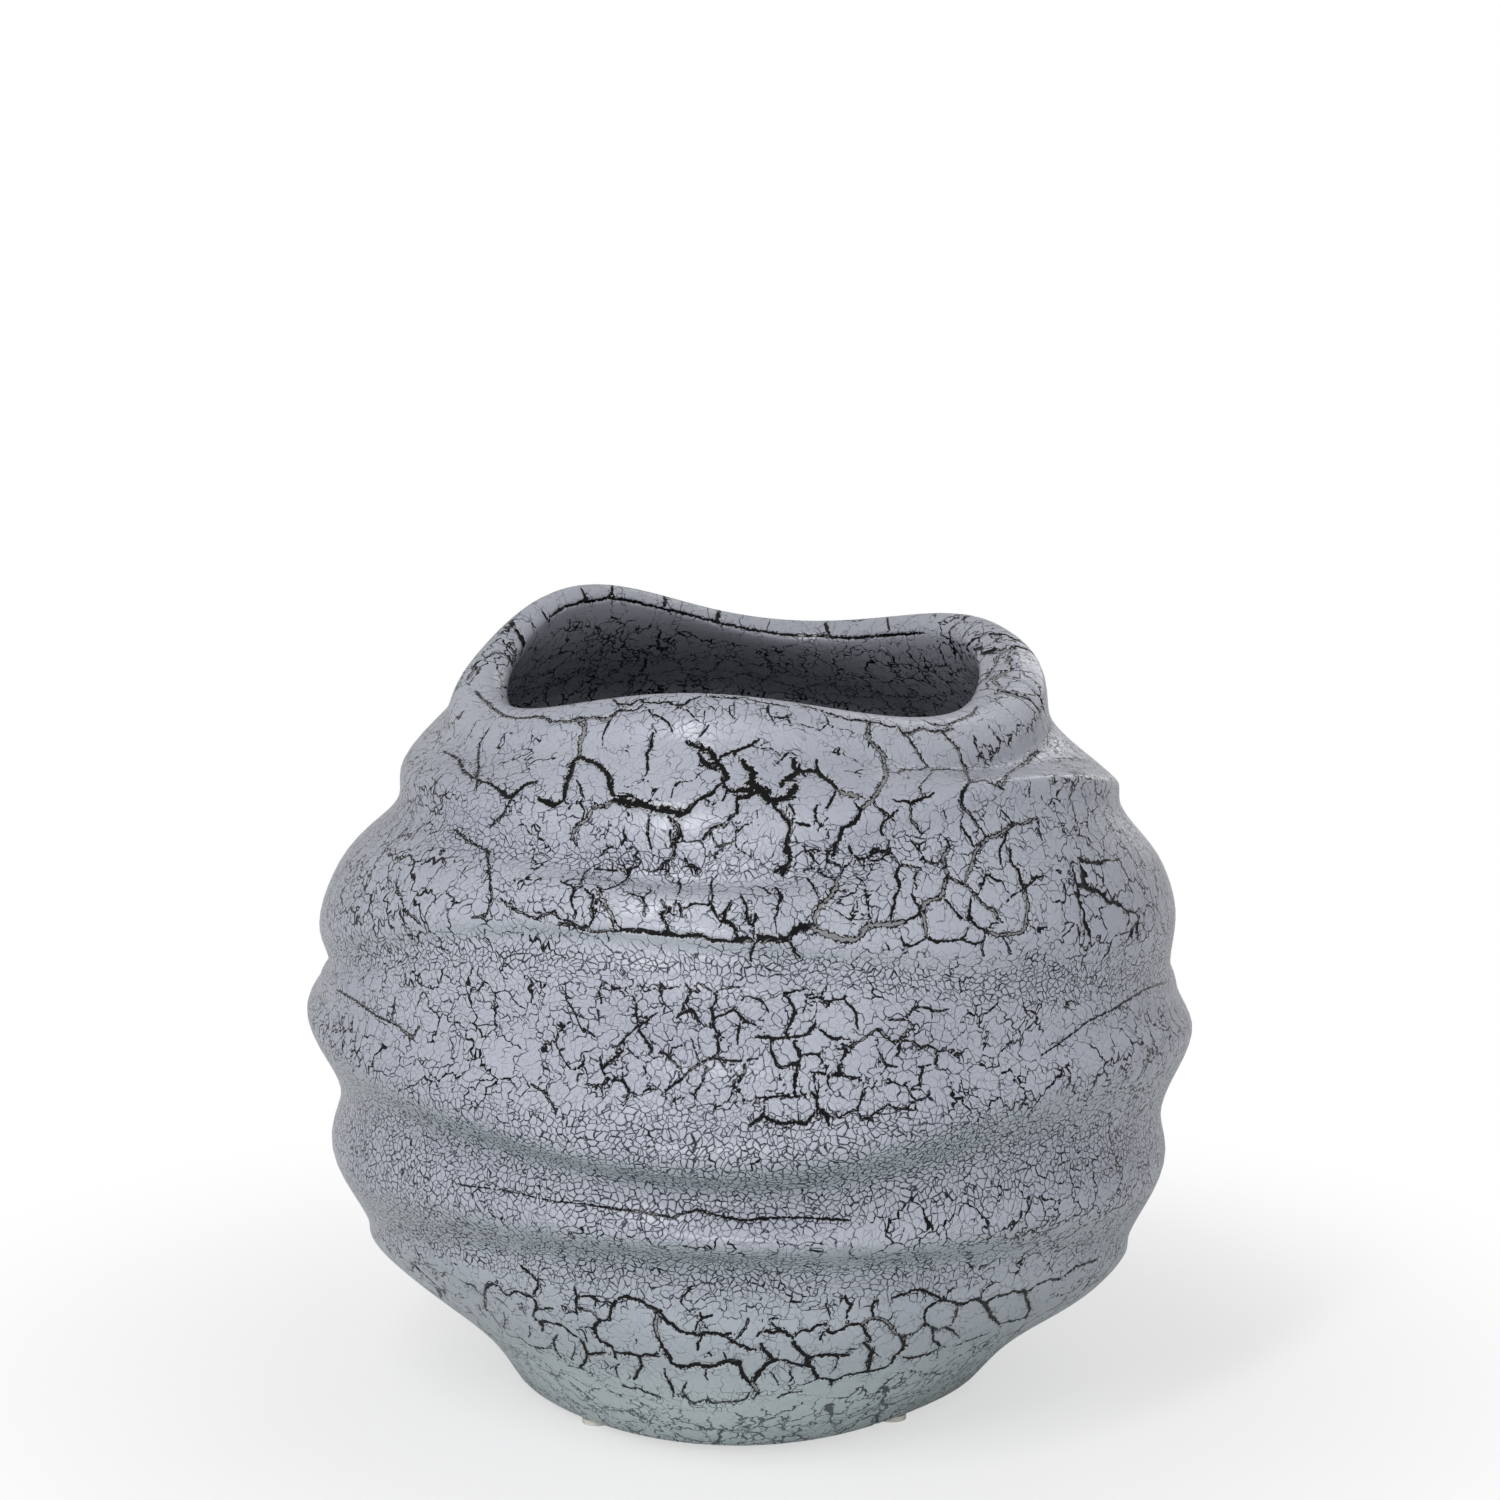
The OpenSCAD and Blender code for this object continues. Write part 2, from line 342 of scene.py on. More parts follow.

# %% [markdown]
# The widest cracks give this vase its face. Their paths were read in the
# photograph, as a few points each in its pixels. A ray from the camera through a point
# lays it on the wall, so the cracks sit on the clay from every side. Noise makes the
# paths jagged, and each crack narrows towards its ends. At the sides and the back, where
# the photograph shows nothing, a net of cells makes cracks of the same kind.

# %% Paths of the widest cracks
# Width in mm, 1 where a film of glaze healed the crack and 0 where it is black, and
# the path's points in pixels of the 1500 by 1500 photograph
CRACKS_SEEN = [
    # Lip
    (1.1, 1, [(476, 691), (484, 700), (492, 708), (503, 715), (518, 718), (541, 716), (551, 721),
              (560, 720)]),
    (1.3, 1, [(560, 720), (568, 721), (581, 718), (594, 717), (603, 719), (609, 718),
              (617, 711)]),
    (0.9, 0, [(613, 698), (616, 703), (620, 704), (631, 704), (638, 699), (641, 699), (644, 702),
              (653, 703), (660, 703), (663, 701), (670, 703), (679, 705), (684, 704), (690, 699),
              (697, 698), (701, 696)]),
    (0.8, 1, [(617, 711), (630, 710), (638, 708), (641, 705), (646, 707)]),
    (1.1, 0, [(711, 696), (720, 696), (730, 698), (742, 697)]),
    (0.7, 0, [(742, 697), (752, 700), (790, 707)]),
    (0.7, 0, [(617, 713), (610, 719), (606, 726), (604, 733)]),
    (0.4, 0, [(604, 733), (603, 737), (603, 747)]),
    (0.6, 0, [(649, 710), (651, 714), (659, 716), (666, 721), (670, 726), (673, 733)]),
    (0.4, 0, [(653, 726), (657, 733)]),
    (0.7, 0, [(683, 704), (680, 709)]),
    (0.5, 0, [(686, 709), (694, 717)]),
    (0.4, 0, [(706, 710), (704, 719)]),
    (0.6, 0, [(712, 706), (716, 711)]),
    (0.6, 0, [(729, 707), (730, 713), (736, 719)]),
    (0.7, 0, [(700, 736), (706, 730), (710, 724)]),
    (0.7, 0, [(769, 704), (767, 711), (771, 717), (783, 718), (787, 716), (790, 724)]),
    (1.1, 1, [(800, 705), (820, 709), (830, 714), (840, 716), (849, 719), (863, 721),
              (870, 720)]),
    (0.6, 0, [(824, 713), (829, 723), (821, 730)]),
    (0.5, 0, [(801, 724), (814, 728), (818, 731)]),
    (0.4, 0, [(831, 725), (840, 729), (849, 730), (854, 734)]),
    (0.8, 1, [(871, 721), (880, 723), (889, 727), (899, 726)]),
    (1.0, 1, [(901, 731), (911, 733), (921, 728), (933, 731), (944, 731), (954, 728)]),
    (0.8, 1, [(924, 721), (931, 724), (939, 724), (944, 726), (954, 722), (969, 716),
              (978, 705)]),
    (0.9, 1, [(899, 727), (904, 734), (911, 740), (917, 750), (924, 761), (929, 768)]),
    (1.2, 1, [(940, 730), (946, 736), (954, 744), (960, 753), (964, 764), (969, 780)]),
    (1.2, 0, [(969, 780), (962, 796), (961, 806)]),
    (1.2, 1, [(969, 782), (985, 780), (997, 786), (1007, 774), (1023, 764), (1039, 751)]),
    # Neck and shoulder, left part
    (1.5, 1, [(580, 720), (584, 727), (584, 733), (580, 739), (579, 747), (579, 757)]),
    (1.5, 0, [(579, 757), (573, 761), (571, 769), (571, 774), (567, 781), (565, 790), (565, 797),
              (560, 802), (551, 804), (538, 798)]),
    (1.4, 0, [(580, 757), (589, 760), (596, 763), (601, 767), (606, 773), (610, 777), (610, 783),
              (611, 790), (613, 796)]),
    (1.0, 0, [(613, 796), (624, 796), (631, 796), (639, 800)]),
    (2.0, 0, [(612, 799), (625, 802), (640, 804), (655, 808), (670, 809), (682, 812), (688, 810),
              (694, 803)]),
    (1.2, 0, [(694, 803), (703, 797), (712, 792), (719, 785)]),
    (1.3, 1, [(612, 801), (607, 806), (599, 804), (590, 811), (587, 818), (580, 823), (574, 830),
              (571, 837), (577, 846)]),
    (0.6, 1, [(576, 779), (580, 787), (581, 794), (586, 801)]),
    (0.6, 0, [(560, 802), (569, 803), (570, 811)]),
    (0.6, 0, [(578, 801), (584, 809), (583, 819)]),
    (0.9, 0, [(651, 734), (651, 747), (647, 754), (647, 766), (649, 772)]),
    (0.3, 0, [(649, 772), (646, 776), (647, 781), (654, 789)]),
    (0.3, 0, [(625, 787), (634, 785), (646, 781)]),
    (0.5, 0, [(651, 799), (656, 790), (663, 784)]),
    (0.3, 0, [(671, 799), (672, 790), (676, 783), (684, 781), (691, 781), (699, 774),
              (698, 768)]),
    # Neck and shoulder, middle and right part
    (1.7, 0, [(687, 742), (693, 745), (703, 747), (710, 750), (714, 757), (719, 763), (724, 771),
              (729, 779)]),
    (1.2, 0, [(699, 753), (703, 761), (710, 766), (717, 770)]),
    (1.3, 0, [(721, 780), (726, 787), (730, 791)]),
    (1.6, 0, [(730, 791), (736, 791), (743, 789), (751, 788)]),
    (1.6, 0, [(738, 797), (747, 796), (755, 791)]),
    (0.8, 0, [(720, 803), (724, 799), (726, 793)]),
    (0.7, 0, [(707, 800), (711, 804), (719, 801)]),
    (1.0, 0, [(737, 800), (737, 811), (730, 817), (727, 823), (719, 825), (711, 829), (706, 833),
              (703, 839)]),
    (0.6, 0, [(711, 834), (714, 841), (719, 846), (731, 844), (736, 840), (736, 833),
              (739, 827)]),
    (0.4, 0, [(730, 821), (737, 828), (746, 824), (751, 824)]),
    (0.7, 0, [(719, 846), (716, 853), (714, 860)]),
    (0.4, 0, [(734, 843), (740, 851), (751, 857)]),
    (0.4, 0, [(681, 841), (689, 843), (703, 840)]),
    (1.0, 0, [(720, 757), (727, 753), (739, 749), (748, 746), (759, 739)]),
    (0.5, 0, [(751, 745), (760, 749), (769, 748), (779, 753)]),
    (0.7, 0, [(734, 753), (737, 760)]),
    (1.9, 0, [(742, 760), (746, 766), (753, 770), (753, 778), (751, 786)]),
    (3.2, 0, [(749, 784), (757, 787), (763, 792)]),
    (2.6, 0, [(761, 791), (767, 797), (773, 801), (780, 799)]),
    (2.0, 0, [(780, 798), (789, 797), (793, 791), (796, 785)]),
    (1.2, 0, [(766, 787), (770, 790), (771, 796)]),
    (1.6, 0, [(781, 786), (783, 781), (790, 777), (795, 774), (797, 770), (794, 766),
              (794, 759)]),
    (1.7, 0, [(797, 770), (803, 771), (810, 770), (817, 771), (820, 774), (826, 779), (831, 781),
              (836, 787)]),
    (1.8, 1, [(836, 788), (844, 793), (851, 794), (860, 796)]),
    (1.0, 0, [(817, 760), (818, 769)]),
    (0.9, 0, [(799, 768), (806, 776)]),
    (0.7, 0, [(790, 751), (786, 754), (781, 760), (776, 765)]),
    (0.7, 0, [(791, 752), (797, 756)]),
    (0.9, 0, [(836, 790), (834, 797), (830, 803), (826, 809)]),
    (0.9, 0, [(853, 800), (857, 806), (861, 809)]),
    (1.2, 0, [(861, 809), (860, 814), (856, 821), (850, 825), (844, 828), (841, 834), (840, 840),
              (834, 847), (834, 856)]),
    (1.5, 1, [(869, 722), (869, 732), (869, 740), (877, 748), (884, 754), (885, 764), (887, 774),
              (882, 784), (877, 794), (870, 801), (862, 808)]),
    (1.0, 1, [(874, 803), (880, 809), (889, 816), (894, 813), (898, 810)]),
    (0.9, 0, [(889, 816), (883, 823), (881, 831), (883, 837)]),
    (0.9, 0, [(890, 798), (896, 801), (907, 801), (911, 804), (916, 801), (923, 798), (930, 796),
              (934, 792)]),
    (0.9, 1, [(911, 804), (911, 819), (917, 827), (921, 833)]),
    (0.6, 0, [(931, 773), (921, 784), (921, 790), (921, 796)]),
    (0.8, 1, [(890, 770), (897, 773), (904, 769), (911, 770), (921, 769), (927, 767)]),
    (1.0, 0, [(930, 771), (937, 769), (946, 769), (959, 770)]),
    (1.3, 0, [(774, 806), (780, 811), (783, 816), (789, 820), (791, 827), (789, 837), (786, 846),
              (789, 851), (791, 859), (786, 870), (781, 876)]),
    (1.0, 0, [(790, 804), (794, 811), (794, 816)]),
    (1.0, 0, [(791, 821), (801, 824), (811, 826)]),
    (0.7, 0, [(817, 804), (815, 811), (817, 820), (821, 824), (819, 831)]),
    (0.4, 0, [(822, 823), (830, 816)]),
    (0.4, 0, [(757, 810), (758, 819), (751, 824), (740, 827)]),
    (0.5, 0, [(800, 844), (804, 850), (813, 851), (826, 851), (826, 859)]),
    (0.5, 0, [(849, 844), (853, 854), (859, 859)]),
    (0.7, 0, [(889, 841), (889, 851), (880, 851), (867, 856)]),
    (0.7, 0, [(889, 851), (896, 859)]),
    (0.5, 0, [(910, 839), (916, 849), (924, 856)]),
    (0.5, 0, [(943, 811), (947, 819)]),
    (0.4, 0, [(940, 833), (947, 840), (950, 849)]),
    # Under the shoulder
    (0.8, 0, [(649, 820), (647, 833), (650, 841), (651, 849)]),
    (1.2, 0, [(669, 816), (674, 820), (679, 829), (677, 837), (673, 840), (674, 853),
              (673, 859)]),
    (0.9, 0, [(671, 830), (670, 837)]),
    (0.7, 0, [(624, 827), (623, 833), (625, 837), (622, 846)]),
    (0.8, 0, [(627, 810), (629, 816)]),
    (0.3, 0, [(609, 820), (609, 829), (604, 839)]),
    (0.6, 0, [(600, 856), (604, 851), (614, 847)]),
    (0.6, 0, [(633, 857), (639, 851)]),
    # Left of the neck
    (0.9, 0, [(443, 751), (459, 758), (462, 769), (478, 780), (490, 783)]),
    (1.3, 0, [(490, 783), (500, 791), (510, 798), (526, 783), (538, 782)]),
    (0.8, 1, [(476, 790), (478, 765), (479, 745), (490, 727)]),
    (0.8, 1, [(510, 800), (503, 815), (490, 828)]),
    (0.8, 1, [(454, 829), (471, 842), (487, 850), (489, 872), (492, 895), (487, 914), (471, 919)]),
    # Upper tier
    (0.9, 1, [(500, 898), (516, 911), (535, 919), (551, 912), (562, 920)]),
    (0.7, 0, [(560, 881), (566, 883), (573, 887), (573, 893), (571, 898), (572, 905), (575, 911),
              (577, 918)]),
    (0.5, 0, [(573, 887), (580, 886)]),
    (0.7, 0, [(584, 888), (588, 893), (593, 895), (595, 891), (600, 889)]),
    (1.2, 1, [(600, 893), (604, 902), (608, 910), (612, 917), (613, 927)]),
    (0.5, 0, [(600, 898), (600, 906), (600, 912)]),
    (0.8, 0, [(594, 898), (592, 906), (593, 917), (590, 925), (582, 927), (576, 926), (570, 921),
              (562, 920)]),
    (0.8, 1, [(560, 925), (570, 926), (580, 929), (592, 932), (606, 931), (620, 932)]),
    (0.5, 0, [(607, 932), (609, 938), (607, 942)]),
    (0.7, 0, [(617, 925), (622, 929), (632, 929), (642, 929), (650, 931), (662, 932)]),
    (1.4, 0, [(618, 930), (640, 932), (660, 934), (682, 936), (700, 936), (706, 938)]),
    (1.1, 0, [(706, 938), (712, 941), (722, 941), (733, 942)]),
    (2.1, 0, [(733, 941), (745, 940), (755, 939), (768, 939), (780, 940), (789, 939)]),
    (2.2, 0, [(788, 939), (793, 932), (798, 927), (805, 927), (812, 927)]),
    (0.8, 0, [(679, 880), (680, 887), (679, 893)]),
    (0.8, 0, [(676, 898), (679, 904), (681, 909), (681, 918)]),
    (0.7, 0, [(676, 902), (672, 905), (669, 910)]),
    (0.9, 0, [(661, 899), (665, 906), (669, 911), (663, 913), (664, 920), (668, 927),
              (666, 931)]),
    (0.7, 0, [(682, 909), (687, 908), (691, 904), (700, 903), (708, 905)]),
    (0.9, 0, [(709, 905), (713, 909), (716, 914), (719, 919)]),
    (0.7, 0, [(712, 880), (711, 888), (713, 895), (711, 903)]),
    (0.8, 0, [(641, 897), (645, 903), (643, 911), (645, 917)]),
    (0.5, 0, [(640, 896), (645, 896), (650, 892), (652, 886)]),
    (0.5, 0, [(623, 890), (632, 894), (641, 898)]),
    (0.8, 0, [(603, 890), (612, 887), (620, 884), (625, 880), (628, 876), (625, 870),
              (623, 865)]),
    (0.6, 0, [(582, 882), (583, 876), (587, 871), (592, 867), (600, 869), (610, 871),
              (619, 870)]),
    (0.6, 0, [(620, 872), (630, 869), (638, 866), (642, 861)]),
    (0.8, 0, [(650, 872), (657, 870), (661, 868), (664, 863), (670, 860)]),
    (0.7, 0, [(668, 865), (668, 878)]),
    (0.9, 0, [(685, 860), (689, 865), (695, 867), (697, 875)]),
    (1.1, 0, [(731, 900), (729, 908), (725, 911), (725, 918), (731, 924), (736, 929),
              (738, 940)]),
    (0.6, 0, [(718, 928), (720, 923), (727, 921)]),
    (0.9, 0, [(741, 894), (744, 901), (747, 907), (746, 914), (749, 921)]),
    (0.7, 0, [(745, 922), (751, 925), (756, 920), (756, 913)]),
    (0.9, 0, [(751, 924), (754, 929), (753, 936)]),
    (0.9, 0, [(776, 887), (781, 893), (781, 899), (778, 905), (777, 913), (774, 918)]),
    (0.3, 0, [(774, 918), (776, 927), (777, 937)]),
    (0.8, 0, [(763, 887), (768, 892), (774, 894)]),
    (0.7, 0, [(774, 872), (781, 868), (787, 865), (790, 860)]),
    (0.8, 0, [(755, 943), (753, 949), (750, 955), (751, 962)]),
    (1.0, 0, [(791, 943), (795, 952), (800, 958)]),
    (0.6, 0, [(802, 845), (807, 850), (813, 851), (812, 858)]),
    (0.5, 0, [(813, 849), (824, 851), (827, 856), (826, 863), (835, 864), (844, 865),
              (852, 866)]),
    (0.5, 0, [(800, 871), (809, 869), (811, 864), (820, 863)]),
    (0.6, 0, [(844, 865), (843, 871), (840, 875)]),
    (0.7, 0, [(818, 871), (824, 875), (829, 878), (835, 878)]),
    (1.5, 1, [(840, 875), (836, 881), (836, 887), (831, 894), (825, 901), (820, 908), (816, 916),
              (815, 925)]),
    (0.6, 0, [(808, 880), (813, 886), (817, 893), (820, 900), (824, 903)]),
    (1.8, 1, [(812, 927), (820, 932), (830, 936), (840, 939), (850, 940), (860, 939)]),
    (1.6, 1, [(860, 938), (864, 930), (870, 925), (880, 924), (890, 925), (900, 923),
              (908, 921)]),
    (0.9, 0, [(905, 920), (914, 918), (920, 914)]),
    (0.5, 0, [(860, 914), (866, 916), (872, 918)]),
    (0.3, 0, [(836, 897), (846, 897), (852, 893), (859, 892)]),
    (0.5, 0, [(857, 900), (858, 907), (854, 915), (851, 924)]),
    (0.3, 0, [(828, 907), (838, 912), (851, 921), (857, 925)]),
    (0.6, 0, [(856, 876), (862, 880), (867, 887), (865, 894), (868, 901), (869, 914)]),
    (0.8, 0, [(849, 846), (850, 850), (854, 855), (857, 859), (867, 859)]),
    (0.8, 0, [(867, 858), (869, 853), (875, 849), (881, 851), (887, 852), (892, 850)]),
    (0.6, 0, [(867, 859), (870, 866), (871, 871)]),
    (0.6, 0, [(868, 860), (880, 860), (886, 853)]),
    (1.0, 1, [(889, 841), (888, 849), (894, 857), (900, 865)]),
    (1.0, 1, [(899, 866), (908, 865), (916, 867), (921, 866)]),
    (0.9, 0, [(899, 867), (896, 873), (899, 880), (900, 888), (895, 897), (895, 905), (892, 912),
              (892, 919)]),
    (0.8, 0, [(917, 871), (914, 877), (916, 884), (917, 888)]),
    (0.9, 0, [(912, 894), (915, 900), (918, 906), (920, 912)]),
    (0.7, 0, [(911, 838), (914, 845), (919, 851), (923, 857), (920, 861)]),
    (0.9, 1, [(923, 859), (930, 862), (940, 862)]),
    (0.5, 0, [(921, 866), (922, 874)]),
    (1.3, 1, [(950, 847), (944, 856), (945, 866), (947, 874), (953, 878), (960, 883),
              (966, 886)]),
    (1.5, 1, [(947, 878), (945, 886), (944, 893), (939, 898), (931, 900), (924, 904), (922, 911),
              (925, 920), (927, 930), (928, 938)]),
    (0.7, 0, [(925, 939), (918, 942), (911, 946), (906, 944), (901, 938)]),
    (0.8, 0, [(928, 939), (937, 942), (948, 941), (961, 940)]),
    (0.7, 0, [(963, 940), (970, 943), (976, 944), (984, 941)]),
    (0.9, 0, [(944, 899), (949, 903), (954, 909), (958, 915), (964, 919), (970, 918)]),
    (0.9, 0, [(971, 897), (971, 907), (970, 915), (973, 922), (979, 928), (985, 930)]),
    (0.5, 0, [(985, 930), (991, 926), (992, 920)]),
    (0.7, 0, [(961, 939), (966, 935), (968, 928)]),
    (1.1, 1, [(968, 886), (973, 892), (978, 898), (984, 904), (990, 908), (996, 911), (998, 917),
              (1003, 923)]),
    (1.2, 1, [(985, 930), (993, 933), (1001, 936), (1011, 934), (1021, 933), (1026, 928),
              (1027, 918), (1028, 906), (1027, 896), (1023, 889)]),
    (1.0, 0, [(1011, 850), (1011, 860), (1014, 866), (1019, 871), (1021, 879), (1023, 889)]),
    (0.7, 0, [(1023, 889), (1030, 884), (1036, 878), (1044, 876)]),
    (0.6, 0, [(1022, 890), (1015, 893), (1011, 898), (1007, 901)]),
    (0.8, 0, [(1016, 824), (1009, 829), (1006, 836), (1004, 843), (1000, 849), (1001, 858),
              (1001, 866)]),
    (1.1, 1, [(1014, 824), (1024, 824), (1030, 820), (1039, 818)]),
    (0.6, 0, [(1039, 820), (1039, 830), (1041, 838), (1045, 839)]),
    (1.3, 1, [(966, 880), (970, 870), (973, 860), (975, 852), (981, 844), (988, 838), (996, 836),
              (1004, 831), (1013, 825)]),
    (0.9, 0, [(984, 880), (984, 875), (990, 875), (996, 880), (1003, 882)]),
    (0.6, 0, [(978, 884), (985, 881)]),
    (0.7, 0, [(985, 880), (981, 888), (979, 893), (976, 895)]),
    (0.4, 0, [(1003, 882), (1005, 888), (1008, 895)]),
    (0.5, 0, [(977, 867), (982, 868), (983, 875)]),
    (0.9, 1, [(958, 800), (962, 807), (970, 814), (976, 822), (982, 829), (986, 836)]),
    (0.8, 0, [(960, 827), (967, 833), (972, 841), (974, 848)]),
    (0.6, 0, [(1000, 810), (1008, 817), (1013, 824)]),
    (0.6, 0, [(885, 941), (888, 947), (891, 953)]),
    (0.6, 0, [(901, 937), (905, 945), (903, 953)]),
    (0.8, 1, [(985, 930), (985, 938), (982, 948), (985, 958)]),
    (0.7, 1, [(1003, 937), (1008, 945), (1011, 954)]),
    (0.6, 0, [(1030, 925), (1035, 929), (1042, 928), (1046, 923)]),
    # Belly
    (0.6, 0, [(604, 980), (601, 988), (599, 994), (601, 1001), (597, 1008), (599, 1020),
              (600, 1028)]),
    (0.6, 0, [(604, 982), (609, 984), (613, 989), (623, 988), (627, 992), (633, 998),
              (637, 1006), (636, 1015), (638, 1022), (637, 1027)]),
    (0.6, 0, [(637, 1027), (631, 1033), (625, 1037), (624, 1044), (627, 1048), (636, 1057)]),
    (0.5, 0, [(624, 1040), (617, 1045), (616, 1051)]),
    (0.9, 0, [(637, 1026), (641, 1034), (645, 1040), (649, 1046), (651, 1050), (657, 1052),
              (663, 1052), (668, 1055), (671, 1060), (675, 1064), (681, 1068), (687, 1071),
              (692, 1070), (698, 1065), (705, 1061), (712, 1058)]),
    (0.7, 0, [(712, 1058), (717, 1059), (722, 1060), (735, 1061), (745, 1061), (760, 1058)]),
    (0.5, 0, [(651, 1051), (646, 1056), (641, 1060)]),
    (0.8, 0, [(717, 1059), (719, 1052), (718, 1045), (717, 1036)]),
    (0.6, 0, [(641, 1025), (648, 1020), (652, 1016), (658, 1013), (666, 1010)]),
    (0.5, 0, [(660, 982), (661, 995), (665, 1005), (670, 1009), (675, 1013)]),
    (0.8, 0, [(676, 1018), (681, 1013), (686, 1012), (691, 1011), (695, 1015), (698, 1020),
              (703, 1025), (712, 1025), (716, 1030), (720, 1035), (725, 1039)]),
    (0.7, 0, [(713, 1022), (714, 1018), (719, 1016), (727, 1013), (732, 1009), (737, 1012),
              (741, 1017), (748, 1022), (755, 1025), (762, 1029), (766, 1034)]),
    (0.6, 0, [(711, 1018), (712, 1008), (715, 1003), (717, 997), (714, 992), (706, 988),
              (700, 984)]),
    (0.5, 0, [(717, 997), (719, 990), (725, 988), (737, 987), (741, 990), (743, 997),
              (741, 1005)]),
    (0.5, 0, [(743, 995), (750, 997), (760, 999), (764, 1004), (768, 1010), (770, 1017)]),
    (0.8, 0, [(688, 995), (688, 1001), (684, 1004), (682, 1009)]),
    (0.7, 0, [(684, 982), (690, 989), (694, 990), (698, 984)]),
    (0.5, 0, [(638, 982), (643, 990), (650, 991), (655, 989), (662, 990), (668, 989),
              (675, 987), (681, 988)]),
    (0.8, 0, [(740, 1024), (738, 1032), (738, 1046)]),
    (0.8, 0, [(600, 1057), (601, 1065), (603, 1071), (606, 1078), (612, 1080), (622, 1081),
              (626, 1085), (629, 1091), (635, 1094), (643, 1092), (650, 1089), (657, 1089)]),
    (0.8, 0, [(660, 1093), (666, 1091), (671, 1087), (677, 1082), (683, 1078), (686, 1073)]),
    (0.9, 1, [(629, 1091), (627, 1098), (622, 1104), (620, 1109)]),
    (0.8, 1, [(606, 1078), (604, 1083), (600, 1086), (592, 1085), (585, 1084)]),
    (0.7, 1, [(600, 1086), (604, 1096)]),
    (0.8, 0, [(605, 1066), (611, 1060), (617, 1057), (620, 1054), (626, 1048)]),
    (0.6, 1, [(540, 1022), (550, 1021), (556, 1022), (560, 1027), (566, 1025), (577, 1019)]),
    (0.6, 0, [(577, 1019), (581, 1029), (588, 1031), (594, 1037), (600, 1040)]),
    (0.5, 0, [(560, 1027), (558, 1035), (555, 1042), (560, 1053), (565, 1061), (570, 1068),
              (578, 1069), (582, 1066), (583, 1057), (584, 1050)]),
    (0.5, 0, [(555, 1042), (550, 1043), (548, 1050), (540, 1052)]),
    (0.4, 0, [(540, 1067), (547, 1069), (553, 1072), (555, 1082)]),
    (0.7, 1, [(530, 1083), (540, 1090), (545, 1093), (550, 1102), (554, 1110), (563, 1109)]),
    (0.5, 0, [(565, 982), (566, 990), (565, 997), (567, 1003), (574, 1010), (577, 1019)]),
    (0.4, 0, [(688, 1034), (693, 1041), (693, 1048), (698, 1055), (698, 1064)]),
    (0.5, 0, [(669, 1060), (671, 1054), (670, 1049), (680, 1047), (681, 1042)]),
    (0.5, 0, [(645, 1067), (644, 1073), (648, 1081)]),
    (0.4, 0, [(622, 1066), (622, 1074), (625, 1080)]),
    (0.6, 0, [(706, 1070), (704, 1080), (700, 1086), (694, 1091), (694, 1099)]),
    (0.5, 0, [(700, 1087), (708, 1089), (714, 1094)]),
    (0.6, 0, [(722, 1063), (725, 1072)]),
    (0.7, 0, [(734, 1069), (737, 1077), (734, 1084), (735, 1089), (741, 1093), (744, 1098),
              (743, 1106)]),
    (0.5, 0, [(737, 1076), (748, 1074)]),
    (0.5, 0, [(676, 1096), (683, 1100), (689, 1103), (689, 1112), (696, 1116), (704, 1115),
              (712, 1113), (713, 1109), (720, 1105), (727, 1104), (730, 1096), (735, 1089)]),
    (0.6, 0, [(666, 1096), (670, 1103), (666, 1112)]),
    (0.8, 0, [(755, 1038), (766, 1038), (776, 1039), (786, 1038), (792, 1038), (801, 1036),
              (807, 1035), (811, 1030), (815, 1026), (816, 1020)]),
    (0.8, 0, [(784, 995), (789, 998), (792, 1005), (795, 1010), (793, 1015), (791, 1022),
              (787, 1030), (786, 1038)]),
    (0.6, 0, [(784, 993), (791, 992), (800, 990), (803, 993), (808, 998), (820, 998),
              (824, 988)]),
    (0.6, 0, [(795, 1010), (804, 1011), (806, 1004)]),
    (0.5, 0, [(820, 998), (826, 1003), (830, 1001), (840, 1000), (845, 998), (846, 990)]),
    (0.7, 0, [(845, 998), (848, 1005), (853, 1008), (856, 1014), (857, 1022), (858, 1030)]),
    (0.8, 0, [(820, 1030), (826, 1035), (833, 1039), (840, 1039), (842, 1035)]),
    (0.9, 1, [(845, 1052), (850, 1046), (858, 1043), (866, 1037), (873, 1031), (878, 1029),
              (886, 1037), (892, 1042), (900, 1040), (903, 1035), (910, 1029), (918, 1030)]),
    (0.6, 1, [(876, 1043), (878, 1052), (882, 1057), (884, 1064), (892, 1066), (900, 1067)]),
    (0.6, 1, [(903, 1040), (901, 1050), (896, 1057)]),
    (0.5, 0, [(903, 1040), (914, 1042), (918, 1045), (919, 1055)]),
    (0.8, 1, [(922, 1046), (930, 1046), (936, 1050), (938, 1058), (935, 1065)]),
    (0.6, 1, [(938, 1051), (948, 1050), (953, 1054), (966, 1052)]),
    (0.7, 1, [(889, 1020), (905, 1020), (910, 1014), (913, 1008), (920, 1007), (929, 1008),
              (932, 1011), (944, 1010), (950, 1008)]),
    (1.0, 0, [(794, 1043), (798, 1050), (799, 1060), (798, 1070), (795, 1078), (795, 1086),
              (794, 1096)]),
    (0.8, 0, [(770, 1042), (771, 1050), (774, 1057), (776, 1064), (781, 1068), (787, 1066),
              (794, 1063), (799, 1066)]),
    (0.4, 0, [(781, 1068), (780, 1078), (786, 1082)]),
    (0.7, 0, [(806, 1054), (813, 1054), (818, 1056), (823, 1062), (828, 1068)]),
    (0.5, 0, [(818, 1056), (823, 1050), (828, 1046)]),
    (0.8, 0, [(812, 1072), (820, 1072), (828, 1075), (835, 1076), (839, 1071), (838, 1065),
              (842, 1060), (846, 1056), (845, 1052), (835, 1048)]),
